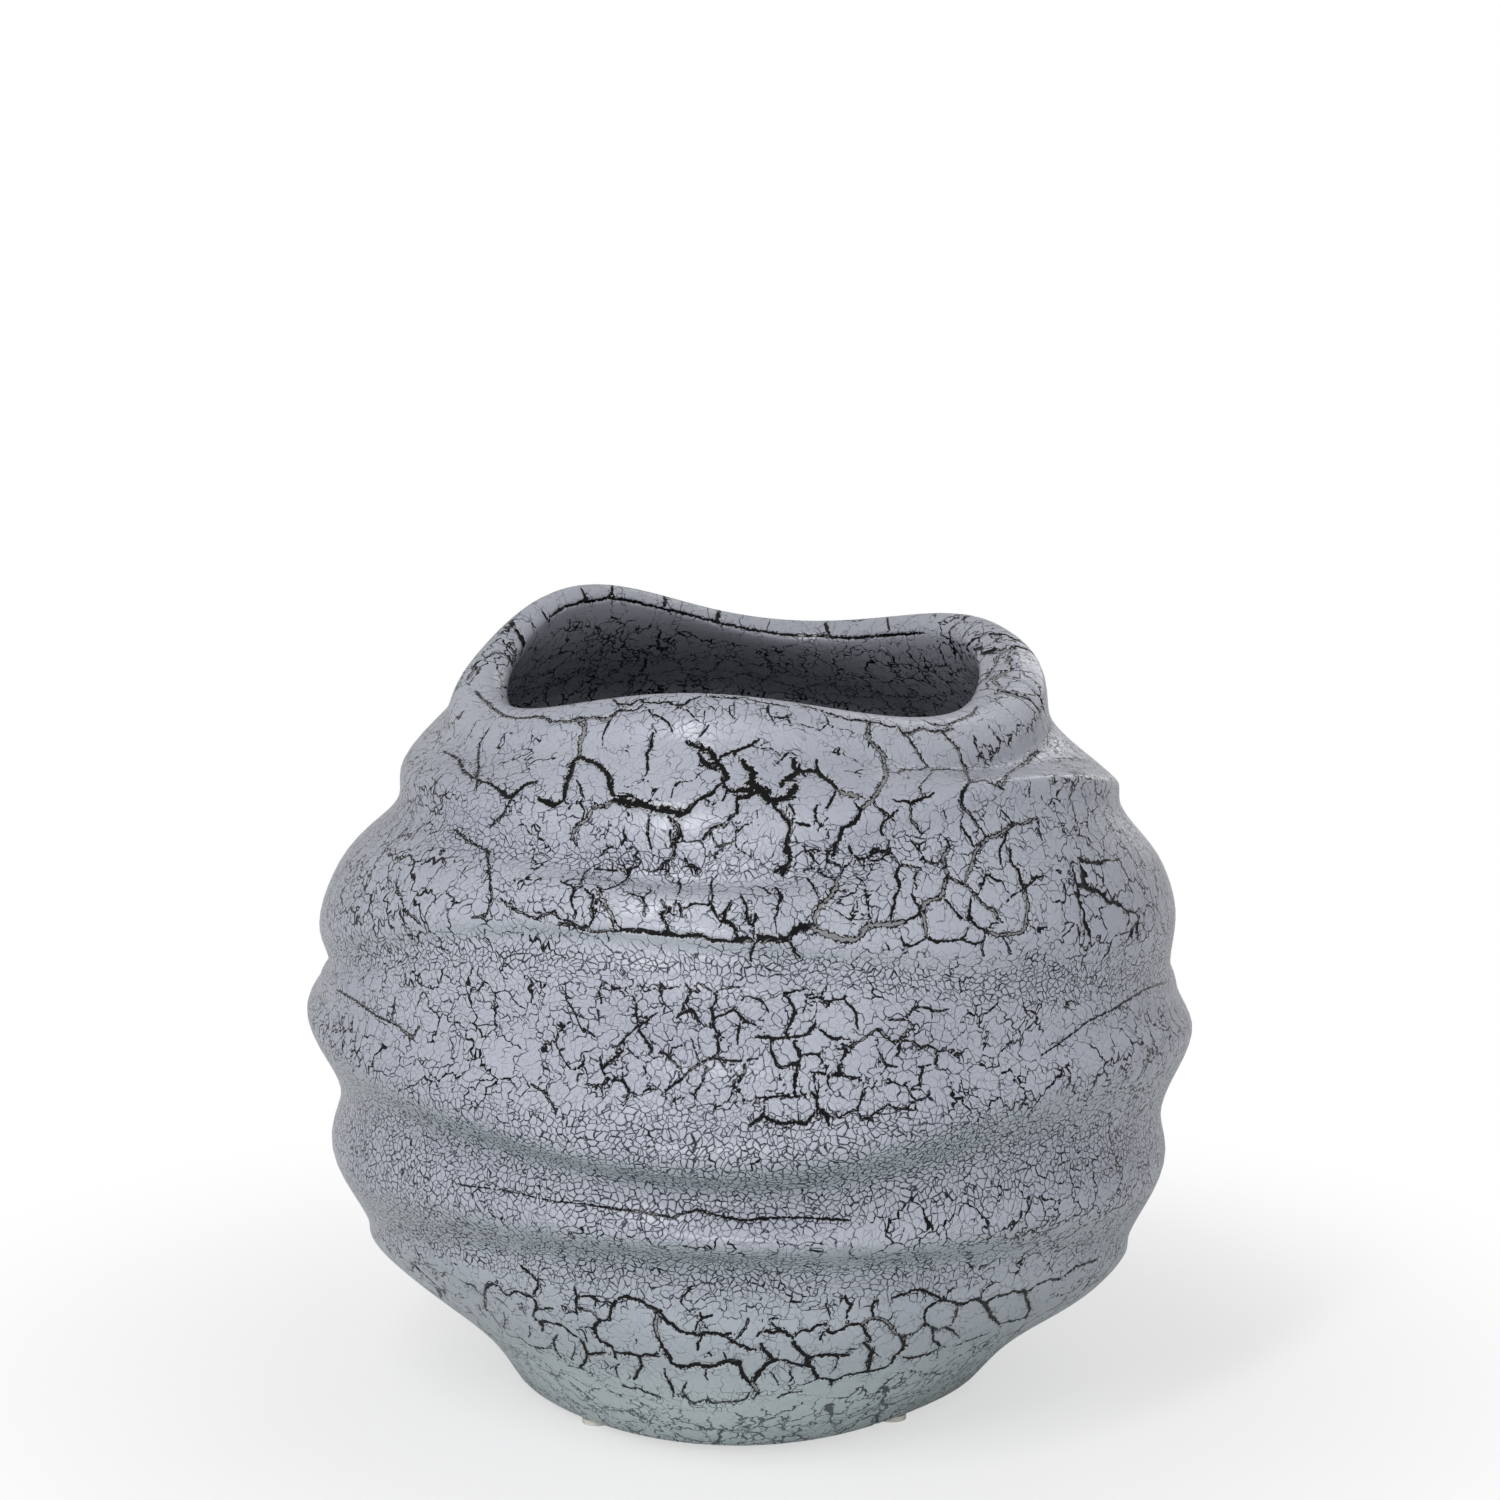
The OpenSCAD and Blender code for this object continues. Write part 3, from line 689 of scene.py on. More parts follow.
    (0.7, 1, [(839, 1071), (846, 1077), (852, 1079), (862, 1076)]),
    (0.6, 0, [(830, 1073), (827, 1082), (830, 1089)]),
    (0.6, 0, [(756, 1058), (747, 1060), (746, 1067), (743, 1072)]),
    (0.7, 0, [(752, 1095), (757, 1098), (770, 1097), (780, 1096), (794, 1097), (808, 1095)]),
    (1.1, 0, [(810, 1092), (815, 1094), (817, 1100), (817, 1106), (822, 1111), (827, 1114),
              (827, 1120), (830, 1126)]),
    (0.6, 0, [(815, 1094), (816, 1085), (813, 1078)]),
    (1.1, 0, [(822, 1112), (813, 1116), (808, 1121), (805, 1123), (790, 1122), (784, 1124),
              (776, 1122), (769, 1119), (764, 1117), (757, 1120), (750, 1126)]),
    (0.6, 0, [(764, 1117), (764, 1107), (763, 1102)]),
    (0.6, 1, [(863, 1085), (862, 1096), (860, 1104), (856, 1110), (848, 1113), (842, 1116)]),
    (0.7, 1, [(858, 1110), (861, 1117), (868, 1119), (873, 1114), (880, 1110), (889, 1104),
              (896, 1108), (905, 1109), (910, 1105), (915, 1101), (922, 1100), (930, 1094)]),
    (0.7, 1, [(930, 1065), (923, 1066), (923, 1070), (921, 1080), (920, 1088)]),
    (0.7, 1, [(884, 1084), (893, 1082), (900, 1085), (905, 1083), (908, 1090), (913, 1096),
              (917, 1100)]),
    (0.4, 0, [(877, 1065), (879, 1072), (880, 1077), (875, 1084), (870, 1090)]),
    # Sides of the belly
    (0.9, 1, [(337, 990), (357, 1002), (376, 1016), (392, 1022), (411, 1038), (420, 1026)]),
    (0.7, 1, [(395, 997), (392, 1019)]),
    (0.6, 0, [(1170, 981), (1144, 990), (1112, 1010), (1087, 1022), (1061, 1042), (1039, 1057)]),
    # Narrow ripple
    (0.4, 0, [(452, 1183), (478, 1187), (503, 1190), (529, 1196), (554, 1201), (583, 1204)]),
    (0.7, 0, [(583, 1204), (618, 1209), (656, 1214), (672, 1217), (695, 1210), (720, 1215),
              (739, 1220), (783, 1217), (813, 1218), (850, 1220)]),
    # Bowl
    (0.7, 0, [(460, 1280), (466, 1285), (472, 1285), (477, 1291), (484, 1294)]),
    (0.9, 0, [(484, 1295), (486, 1288), (492, 1284), (498, 1286), (503, 1293), (508, 1297),
              (513, 1293), (518, 1292), (525, 1296), (531, 1296), (536, 1303), (536, 1310),
              (533, 1316)]),
    (1.1, 0, [(533, 1317), (539, 1323), (547, 1321), (554, 1324), (562, 1326), (568, 1331),
              (574, 1336), (581, 1338)]),
    (1.2, 1, [(485, 1293), (485, 1302), (486, 1311)]),
    (0.8, 0, [(532, 1297), (537, 1289), (538, 1282), (532, 1275), (525, 1270), (520, 1265)]),
    (0.6, 0, [(495, 1298), (503, 1302), (509, 1308)]),
    (0.6, 0, [(479, 1304), (481, 1311), (487, 1319)]),
    (0.5, 0, [(491, 1311), (495, 1320), (503, 1330)]),
    (0.5, 0, [(504, 1312), (505, 1323), (503, 1330), (509, 1336), (520, 1338)]),
    (0.8, 0, [(520, 1338), (527, 1343), (535, 1349), (541, 1348), (552, 1348)]),
    (0.5, 0, [(521, 1302), (522, 1310), (526, 1318)]),
    (0.6, 0, [(530, 1326), (530, 1334), (528, 1337)]),
    (0.7, 0, [(543, 1323), (542, 1334)]),
    (0.9, 0, [(557, 1336), (553, 1341), (554, 1347), (558, 1354), (561, 1359)]),
    (0.6, 0, [(577, 1330), (583, 1329), (587, 1326)]),
    (0.8, 0, [(583, 1331), (586, 1338), (588, 1343)]),
    (1.0, 0, [(581, 1342), (585, 1349), (587, 1356), (584, 1363), (579, 1368)]),
    (0.6, 0, [(575, 1348), (573, 1356), (572, 1361)]),
    (1.1, 0, [(587, 1354), (597, 1354), (606, 1353)]),
    (0.6, 0, [(568, 1366), (579, 1368), (587, 1371), (594, 1377)]),
    (0.9, 0, [(574, 1287), (576, 1296), (576, 1306), (577, 1315)]),
    (1.1, 1, [(576, 1306), (583, 1310), (590, 1311), (596, 1316), (600, 1321)]),
    (0.8, 0, [(539, 1310), (547, 1309), (554, 1308)]),
    (0.6, 0, [(557, 1303), (562, 1305), (564, 1313), (575, 1312)]),
    (1.3, 0, [(600, 1321), (594, 1327), (596, 1335), (601, 1342), (608, 1346), (614, 1350),
              (615, 1358)]),
    (1.0, 0, [(600, 1321), (608, 1321), (610, 1314), (611, 1307), (617, 1301), (620, 1297)]),
    (1.1, 0, [(618, 1298), (626, 1297), (634, 1299), (641, 1302), (648, 1306), (655, 1310),
              (661, 1311)]),
    (0.6, 0, [(580, 1297), (593, 1296), (594, 1300), (600, 1302), (606, 1301), (614, 1304)]),
    (1.1, 0, [(615, 1352), (623, 1354), (631, 1354), (638, 1357), (646, 1355), (655, 1356),
              (657, 1351)]),
    (1.1, 0, [(640, 1358), (641, 1366), (637, 1374), (633, 1380)]),
    (0.5, 0, [(636, 1346), (636, 1341), (641, 1338)]),
    (0.7, 0, [(620, 1363), (615, 1366), (617, 1372), (619, 1379)]),
    (0.7, 0, [(605, 1362), (610, 1368)]),
    (0.9, 0, [(622, 1385), (630, 1389), (638, 1388), (646, 1393), (654, 1395), (661, 1398)]),
    (1.4, 1, [(658, 1311), (656, 1319), (655, 1328), (658, 1338)]),
    (1.3, 0, [(658, 1338), (663, 1347), (668, 1356), (672, 1364)]),
    (1.1, 0, [(661, 1314), (666, 1321), (673, 1325), (680, 1331), (689, 1334), (698, 1335),
              (706, 1333), (714, 1334), (722, 1335), (731, 1333)]),
    (0.9, 0, [(724, 1336), (730, 1341), (736, 1344), (741, 1348)]),
    (0.9, 0, [(701, 1337), (698, 1344), (698, 1350)]),
    (0.7, 0, [(705, 1326), (709, 1330)]),
    (0.8, 0, [(696, 1330), (698, 1323), (704, 1318), (713, 1315)]),
    (0.7, 0, [(681, 1304), (683, 1297), (689, 1290), (689, 1283)]),
    (0.6, 0, [(681, 1304), (688, 1310), (695, 1309), (700, 1315), (704, 1318)]),
    (1.4, 0, [(672, 1364), (680, 1367), (688, 1367), (696, 1365), (705, 1368), (714, 1367),
              (722, 1363), (729, 1361), (734, 1364), (739, 1361)]),
    (0.6, 0, [(706, 1368), (705, 1375), (708, 1381)]),
    (0.6, 0, [(712, 1350), (709, 1353), (712, 1357)]),
    (0.7, 0, [(724, 1352), (727, 1360)]),
    (1.4, 0, [(739, 1361), (741, 1369), (743, 1377), (748, 1383), (754, 1383)]),
    (0.8, 0, [(665, 1369), (666, 1377), (670, 1384), (673, 1390), (674, 1397)]),
    (1.0, 0, [(679, 1394), (685, 1394), (687, 1399), (692, 1403), (699, 1402), (706, 1400),
              (712, 1403), (721, 1403), (730, 1402), (740, 1402), (746, 1399), (750, 1393)]),
    (0.7, 0, [(686, 1382), (684, 1389), (681, 1391)]),
    (1.9, 1, [(752, 1382), (757, 1392)]),
    (1.7, 0, [(754, 1381), (758, 1374), (764, 1367), (771, 1362), (777, 1360)]),
    (1.3, 0, [(761, 1345), (765, 1351), (770, 1357), (775, 1361)]),
    (0.9, 0, [(776, 1361), (783, 1360), (790, 1363), (797, 1365), (805, 1366), (811, 1369)]),
    (1.3, 0, [(793, 1337), (794, 1345), (800, 1351), (806, 1357), (809, 1364), (814, 1371),
              (818, 1377)]),
    (1.3, 0, [(807, 1359), (815, 1357), (823, 1355), (831, 1355), (840, 1356), (849, 1356)]),
    (1.0, 0, [(757, 1337), (761, 1332), (767, 1332), (773, 1333), (779, 1330), (785, 1332),
              (790, 1337), (794, 1337)]),
    (0.7, 0, [(794, 1337), (800, 1331), (805, 1330), (812, 1331), (817, 1326), (825, 1325)]),
    (0.9, 0, [(820, 1340), (822, 1334), (826, 1331), (833, 1333), (840, 1331), (846, 1327),
              (854, 1324), (861, 1324)]),
    (1.3, 1, [(861, 1324), (868, 1321), (874, 1318), (881, 1319), (887, 1323), (892, 1328),
              (896, 1334), (900, 1338)]),
    (1.2, 0, [(862, 1326), (865, 1332), (869, 1337), (872, 1341)]),
    (1.2, 0, [(864, 1342), (868, 1348), (873, 1352), (869, 1358), (870, 1365), (868, 1371)]),
    (0.5, 0, [(873, 1352), (877, 1345)]),
    (1.4, 0, [(900, 1338), (905, 1343), (903, 1349), (897, 1354), (893, 1361), (889, 1366)]),
    (0.9, 0, [(889, 1366), (881, 1369), (874, 1371), (867, 1372), (858, 1373), (849, 1375),
              (842, 1377), (835, 1381), (826, 1379), (818, 1377)]),
    (0.6, 0, [(818, 1378), (811, 1382), (802, 1385)]),
    (0.8, 0, [(802, 1392), (791, 1393), (782, 1395), (777, 1399)]),
    (0.8, 0, [(764, 1392), (757, 1394), (752, 1400)]),
    (0.8, 0, [(830, 1380), (831, 1386)]),
    (0.5, 0, [(838, 1360), (836, 1367), (831, 1373)]),
    (0.8, 0, [(849, 1350), (856, 1349)]),
    (0.7, 0, [(790, 1371), (793, 1378), (789, 1384), (790, 1390)]),
    (0.5, 0, [(770, 1372), (776, 1378), (779, 1386)]),
    (0.9, 0, [(875, 1318), (872, 1311), (873, 1304), (879, 1300)]),
    (0.6, 0, [(890, 1320), (894, 1312)]),
    (1.4, 1, [(901, 1336), (908, 1336), (915, 1333), (920, 1328), (925, 1322)]),
    (0.9, 0, [(925, 1321), (925, 1313), (929, 1308), (935, 1303), (942, 1300), (950, 1301)]),
    (1.2, 0, [(950, 1301), (957, 1304), (965, 1304), (971, 1301), (978, 1300), (985, 1304),
              (989, 1311), (993, 1319), (999, 1325)]),
    (0.9, 0, [(924, 1323), (931, 1326), (934, 1333), (933, 1341)]),
    (0.9, 0, [(933, 1341), (939, 1344), (938, 1350), (929, 1354), (919, 1357), (910, 1359),
              (903, 1356)]),
    (0.9, 1, [(936, 1331), (944, 1328), (951, 1330), (956, 1334), (960, 1338)]),
    (1.1, 1, [(958, 1308), (956, 1315), (953, 1323)]),
    (0.8, 0, [(955, 1347), (964, 1343), (972, 1340), (981, 1336), (989, 1332)]),
    (1.0, 0, [(999, 1325), (1008, 1322), (1018, 1320), (1027, 1317), (1030, 1311), (1028, 1302),
              (1026, 1294), (1024, 1289)]),
    (1.0, 0, [(984, 1303), (992, 1299), (1000, 1296), (1007, 1295), (1013, 1292), (1019, 1293),
              (1024, 1289)]),
    (1.0, 0, [(1024, 1291), (1031, 1290), (1037, 1286), (1044, 1282), (1051, 1279), (1060, 1280),
              (1077, 1267), (1097, 1260)]),
    (0.6, 0, [(946, 1299), (949, 1291), (956, 1285)]),
    (0.8, 0, [(941, 1299), (936, 1296), (928, 1293), (921, 1289), (914, 1290), (906, 1293),
              (898, 1296), (892, 1299)]),
    (0.7, 0, [(981, 1300), (982, 1291), (990, 1285), (996, 1282)]),
    (0.8, 0, [(847, 1319), (849, 1311), (852, 1306), (847, 1302), (846, 1295)]),
    (0.8, 1, [(831, 1319), (829, 1311), (825, 1303)]),
    (0.6, 0, [(760, 1320), (771, 1319), (773, 1325), (779, 1329)]),
    (0.9, 1, [(748, 1319), (747, 1327), (741, 1333), (737, 1339)]),
    (0.9, 0, [(737, 1345), (744, 1346), (750, 1350), (758, 1350)]),
    # Rim at the back
    (1.0, 0, [(612, 585), (613, 592), (608, 598)]),
    (1.4, 0, [(664, 592), (666, 601), (663, 609)]),
    (1.3, 0, [(720, 608), (717, 622)]),
    (0.9, 0, [(581, 588), (586, 595), (583, 602)]),
    (0.8, 0, [(543, 612), (549, 622)]),
    (1.3, 0, [(825, 621), (830, 637)]),
    (0.9, 0, [(887, 618), (889, 632)]),
    (0.9, 0, [(551, 616), (567, 606), (586, 602), (608, 598), (631, 601), (663, 609), (691, 615),
              (717, 622), (742, 628), (784, 634), (816, 636), (848, 638), (879, 636), (924, 633)]),
]

# %% [markdown]
# The samples of the paths go into a tree that finds the nearest one fast. Each point of
# the mesh keeps the place of the nearest sample, the crack's half width there, and
# whether a film healed it. The place is kept and not only the distance, because a place
# blends well across a face that is larger than the crack is wide. Where a path turns, a
# short spur runs on, as tears do in a skin that shrinks.

# %% Lay the seen cracks on the mesh
# Lengths here are in pixels of the photograph, apart from the least half width in mm
SAMPLE_STEP = 0.7
LEAST_HALF = 0.17
# Size of each wobble of a path, and its reach
WOBBLES = [(14, 0.9), (5, 0.9)]
# Length over which the width changes, and the share by which it does
WIDTH_CHANGE_SIZE = 12
WIDTH_CHANGE = 0.3
# Share of the width at an end, and the length of the narrow part
END_SHARE = 0.7
END_LENGTH = 9
# Least turn in radians that has a spur, the spur's length, and its share of the width
SPUR_TURN = 0.7
SPUR_LENGTH = 7
SPUR_SHARE = 0.5


def ray_through(spot):
    """Direction from the camera through a pixel of the photograph."""
    x, y = spot
    middle = PHOTO_WIDTH / 2
    ahead = Vector(((x - middle) / PHOTO_FOCAL, (middle - y) / PHOTO_FOCAL, -1))
    return tripod.rotation_euler.to_matrix() @ ahead


def jagged(spot):
    """The pixel, pushed about by noise of two sizes."""
    x, y = spot
    for size, reach in WOBBLES:
        x += noise.noise(Vector((spot[0], spot[1], size)) / size) * reach
        y += noise.noise(Vector((spot[1], spot[0], -size)) / size) * reach
    return x, y


def spurs_of(width, film, spots):
    """Short tears that run on from the corners of a path."""
    for before, corner, after in zip(spots, spots[1:], spots[2:]):
        into = Vector(corner) - Vector(before)
        if abs(into.angle_signed(Vector(after) - Vector(corner), 0)) > SPUR_TURN:
            reach = SPUR_LENGTH * (1 + noise.noise(Vector((*corner, 0)) / SPUR_LENGTH))
            end = Vector(corner) + into.normalized() * reach
            yield width * SPUR_SHARE, film, [corner, tuple(end)]


def samples_of_path(width, film, spots):
    """Places in mm along a path on the wall, with half of its width and its film."""
    corners = [Vector(spot) for spot in spots]
    lengths = [(end - start).length for start, end in zip(corners, corners[1:])]
    whole = sum(lengths)
    passed = 0
    for start, end, length in zip(corners, corners[1:], lengths):
        for step in range(max(1, round(length / SAMPLE_STEP))):
            along = step * SAMPLE_STEP
            spot = start.lerp(end, min(1, along / length))
            from_end = max(0, min(passed + along, whole - passed - along))
            hit, place, _, _ = mould.ray_cast(tripod.location, ray_through(jagged(spot)))
            change = 1 + noise.noise(Vector((*spot, width)) / WIDTH_CHANGE_SIZE) * WIDTH_CHANGE
            narrowing = END_SHARE + (1 - END_SHARE) * min(1, from_end / END_LENGTH)
            if hit:
                yield place / MM, max(LEAST_HALF, width / 2 * change * narrowing), film
        passed += length


paths = CRACKS_SEEN + [spur for crack in CRACKS_SEEN for spur in spurs_of(*crack)]
crack_samples = [sample for path in paths for sample in samples_of_path(*path)]
sample_tree = kdtree.KDTree(len(crack_samples))
for number, (place, _, _) in enumerate(crack_samples):
    sample_tree.insert(place, number)
sample_tree.balance()
print("paths with their spurs:", len(paths), "samples:", len(crack_samples))


def lay_seen_cracks(piece):
    """Keeps the nearest seen crack of each point on the mesh."""
    found = [sample_tree.find(point) for point in points_of(piece)]
    nearest = [crack_samples[number] for _, number, _ in found]
    keep_attribute(piece, "seen_spot", [tuple(place) for place, _, _ in nearest],
                   "FLOAT_VECTOR")
    keep_attribute(piece, "seen_far", [distance for _, _, distance in found])
    keep_attribute(piece, "seen_half", [half for _, half, _ in nearest])
    keep_attribute(piece, "film", [film for _, _, film in nearest])


# %% [markdown]
# The rest of the crackle is a net of cells, from large plates down to cells of under
# 2 mm. Voronoi texture gives the middles of the two nearest cells, and noise pushes the
# place about first, so that the borders turn jagged. A crack is where the distance to a
# border is less than half of the crack's width. The width follows the coat and wanders
# with noise, so cracks taper and end inside plates. The same nodes work in a material
# and in Geometry Nodes, so the same functions build the wide cracks for both, and
# carved grooves and painted cracks fall together.

# %% One function adds a node
def add(tree, kind, inputs=None, **settings):
    """Adds a node with its settings, and fills its inputs with values or links."""
    node = tree.nodes.new(kind)
    for name, value in settings.items():
        setattr(node, name, value)
    for socket, value in (inputs or {}).items():
        if isinstance(value, bpy.types.NodeSocket):
            tree.links.new(value, node.inputs[socket])
        else:
            node.inputs[socket].default_value = value
    return node


# %% Places, changes and shares
# Size of the wander in mm, how far it pushes a border, and its finer octaves
PLATE_WANDERS = [(30, 9, 0), (7, 4.5, 1), (2, 1.7, 1)]
NET_WANDERS = [(20, 6, 0), (4, 2, 0), (1.2, 0.9, 1)]
# Blender's noise seldom leaves this range
NOISE_RANGE = (0.3, 0.7)


def calculated(tree, operation, first, *others):
    """The result of a sum with numbers, worked out from the first to the last."""
    for other in others:
        first = add(tree, "ShaderNodeMath", {0: first, 1: other},
                    operation=operation).outputs[0]
    return first


def with_vectors(tree, operation, *vectors, output="Vector"):
    """The result of a sum with vectors."""
    return add(tree, "ShaderNodeVectorMath", dict(enumerate(vectors)),
               operation=operation).outputs[output]


def length_along_wall(tree, vector, outward):
    """Length of the vector without its part that points through the wall."""
    through_wall = with_vectors(tree, "PROJECT", vector, outward)
    along_wall = with_vectors(tree, "SUBTRACT", vector, through_wall)
    return with_vectors(tree, "LENGTH", along_wall, output="Value")


def torn_place(tree, place, wanders):
    """The place in mm, pushed about by noise of several sizes."""
    for size, reach, octaves in wanders:
        cloud = add(tree, "ShaderNodeTexNoise",
                    {"Vector": place, "Scale": 1 / size, "Detail": octaves})
        place = with_vectors(tree, "MULTIPLY_ADD", cloud.outputs["Color"],
                             (reach, reach, reach), place)
    return place


def wandering(tree, place, size, swing, base):
    """A number that wanders by the swing around the base over the size in mm."""
    cloud = add(tree, "ShaderNodeTexNoise", {"Vector": place, "Scale": 1 / size, "Detail": 1})
    return add(tree, "ShaderNodeMapRange",
               {"Value": cloud.outputs[0], "From Min": NOISE_RANGE[0],
                "From Max": NOISE_RANGE[1], "To Min": base - swing,
                "To Max": base + swing}).outputs[0]


def share_between(tree, value, low, high, top=1):
    """0 where the value is at the low end, the top at the high end, and smooth between."""
    return add(tree, "ShaderNodeMapRange",
               {"Value": value, "From Min": low, "From Max": high, "To Max": top},
               interpolation_type="SMOOTHSTEP").outputs[0]


# %% Borders of the cells
# Sizes of the cells in mm
PLATE_CELL = 19
MEDIUM_CELL = 9
SMALL_CELL = 4.6
FINE_CELL = 1.75
# Half width that closes a crack everywhere
NO_CRACK = -9
HALF_WAY = (0.5, 0.5, 0.5)
# Two cells with colours closer than this are one cell
SAME_COLOUR = 1e-4


def nearest_cells(tree, place, cell):
    """Voronoi textures of the nearest and of the second nearest cell."""
    return [add(tree, "ShaderNodeTexVoronoi", {"Vector": place, "Scale": 1 / cell},
                feature=feature) for feature in ("F1", "F2")]


def chance_of(tree, first, second):
    """A number from 0 to 1 that belongs to the border between two cells' colours."""
    both = with_vectors(tree, "ADD", first, second)
    return add(tree, "ShaderNodeTexWhiteNoise", {"Vector": both}).outputs["Value"]


def cell_border(tree, torn, outward, cell):
    """Distance in mm along the wall to the nearest border of a cell, the middles of the
    cells on both sides of that border, and the border's chance."""
    sides = nearest_cells(tree, torn, cell)
    here, beyond = [side.outputs["Position"] for side in sides]
    chance = chance_of(tree, *[side.outputs["Color"] for side in sides])
    across = with_vectors(tree, "SUBTRACT", beyond, here)
    middle = with_vectors(tree, "MULTIPLY_ADD", across, HALF_WAY, here)
    to_middle = with_vectors(tree, "SUBTRACT", middle, torn)
    reach = with_vectors(tree, "DOT_PRODUCT", to_middle, across, output="Value")
    distance = calculated(tree, "DIVIDE", reach, length_along_wall(tree, across, outward))
    return distance, here, beyond, chance


def parts_groups(tree, here, beyond, cell):
    """1 where the two cells lie in different larger cells and 0 where they share one,
    with the chance of the border between the larger cells."""
    colours = [nearest_cells(tree, side, cell)[0].outputs["Color"] for side in (here, beyond)]
    apart = with_vectors(tree, "DISTANCE", *colours, output="Value")
    return calculated(tree, "GREATER_THAN", apart, SAME_COLOUR), chance_of(tree, *colours)


def rough_distance(tree, torn, cell):
    """Rough distance in mm to the nearest border of a cell."""
    near, next_near = [side.outputs["Distance"] for side in nearest_cells(tree, torn, cell)]
    return calculated(tree, "MULTIPLY", calculated(tree, "SUBTRACT", next_near, near), cell / 2)


# %% [markdown]
# Between large plates the cracks are up to 2 mm wide, but only where the coat is thick.
# The seen cracks stand for them at the front, so the net's own wide cracks close near
# those. Then come three nets of smaller cracks that share their borders. The medium one
# opens wherever no seen crack is near. The small one shrinks to short spurs off the
# medium one where the coat is thick, and the fine one shows only where it is thin.

# %% Widths of the cracks
# A wander is a row of its size in mm, its swing and its base. A change is a row of the
# value where it starts, the value where it is full, and what it comes to there, which is
# 1 where the row doesn't say. Widths are in mm, and a half width below zero leaves the
# crack closed.

# Most by which the distance worked out may fall below the one kept on the mesh
LARGEST_STEP = 0.6
# Ragged edge of a seen crack, as a share of its half width and this least part
EDGE_RAGS = (0.9, 0.32, 0)
EDGE_LEAST = 0.25
# Half width of the net's own wide cracks: its wander, and its changes with the coat and
# with the gap in mm to a seen crack
OWN_WANDER = (14, 0.4, -0.45)
OWN_ON_COAT = (0.4, 0.9, 1.25)
OWN_NEAR_SEEN = (12, 7, -3)
# Coat at which the thin coat's widths end and the middle ones begin, then the thick ones
THIN_TO_MIDDLE = (0.1, 0.45)
MIDDLE_TO_THICK = (0.55, 0.85)
# Share of the width that all borders have, and the share that chance adds
SURE_SHARE = 0.45
CHANCE_SHARE = 1.1
# Half widths of the three nets on a thin, middle and thick coat
MEDIUM_WIDTHS = (0.16, 0.32, 0.3)
SMALL_WIDTHS = (0.12, 0.085, -0.03)
FINE_WIDTHS = (0.125, -0.02, -0.12)
# Gaps to a seen crack between which the medium cracks open
MEDIUM_NEAR_SEEN = (2.6, 5.5)
# What a spur gains towards a medium crack, less its closed part, and on a thicker coat
SPURS_NEAR_MEDIUM = (2.2, 0.2, 0.11)
SPURS_CLOSED = 0.05
SPURS_ON_COAT = (0.2, 0.5)
# What small and fine cracks gain towards a wide one, and the wander of every half width
SMALL_NEAR_WIDE = (2.2, 0, 0.08)
FINE_NEAR_WIDE = (1, 0, 0.04)
NET_WANDER = (3, 0.05, 0)


def seen_gap(tree, place, outward, spot, far, half):
    """Gap to the edge of the nearest seen crack, measured along the wall."""
    toward = with_vectors(tree, "SUBTRACT", place, spot)
    least = calculated(tree, "SUBTRACT", far, LARGEST_STEP)
    distance = calculated(tree, "MAXIMUM", length_along_wall(tree, toward, outward), least)
    rough = wandering(tree, place, *EDGE_RAGS)
    rough = calculated(tree, "MULTIPLY", rough, calculated(tree, "ADD", half, EDGE_LEAST))
    return calculated(tree, "ADD", calculated(tree, "SUBTRACT", distance, half), rough)


def own_cracks(tree, place, coat, outward, seen):
    """Gap to the net's own nearest wide crack, and half of that crack's width."""
    torn = torn_place(tree, place, PLATE_WANDERS)
    distance = cell_border(tree, torn, outward, PLATE_CELL)[0]
    half_width = calculated(tree, "ADD", wandering(tree, place, *OWN_WANDER),
                            share_between(tree, coat, *OWN_ON_COAT),
                            share_between(tree, seen, *OWN_NEAR_SEEN))
    return calculated(tree, "SUBTRACT", distance, half_width), half_width


def net_width(tree, coat, parting, chance, thin, middle, thick):
    """Half of the width of one net's cracks on a thin, middle and thick coat."""
    by_coat = calculated(tree, "ADD",
                         share_between(tree, coat, *THIN_TO_MIDDLE, middle - thin),
                         share_between(tree, coat, *MIDDLE_TO_THICK, thick - middle), thin)
    by_chance = calculated(tree, "MULTIPLY", chance, CHANCE_SHARE)
    by_chance = calculated(tree, "ADD", SURE_SHARE, by_chance)
    half_width = calculated(tree, "MULTIPLY", by_coat, by_chance)
    return add(tree, "ShaderNodeMix", {"Factor": parting, 2: NO_CRACK, 3: half_width},
               data_type="FLOAT").outputs[0]


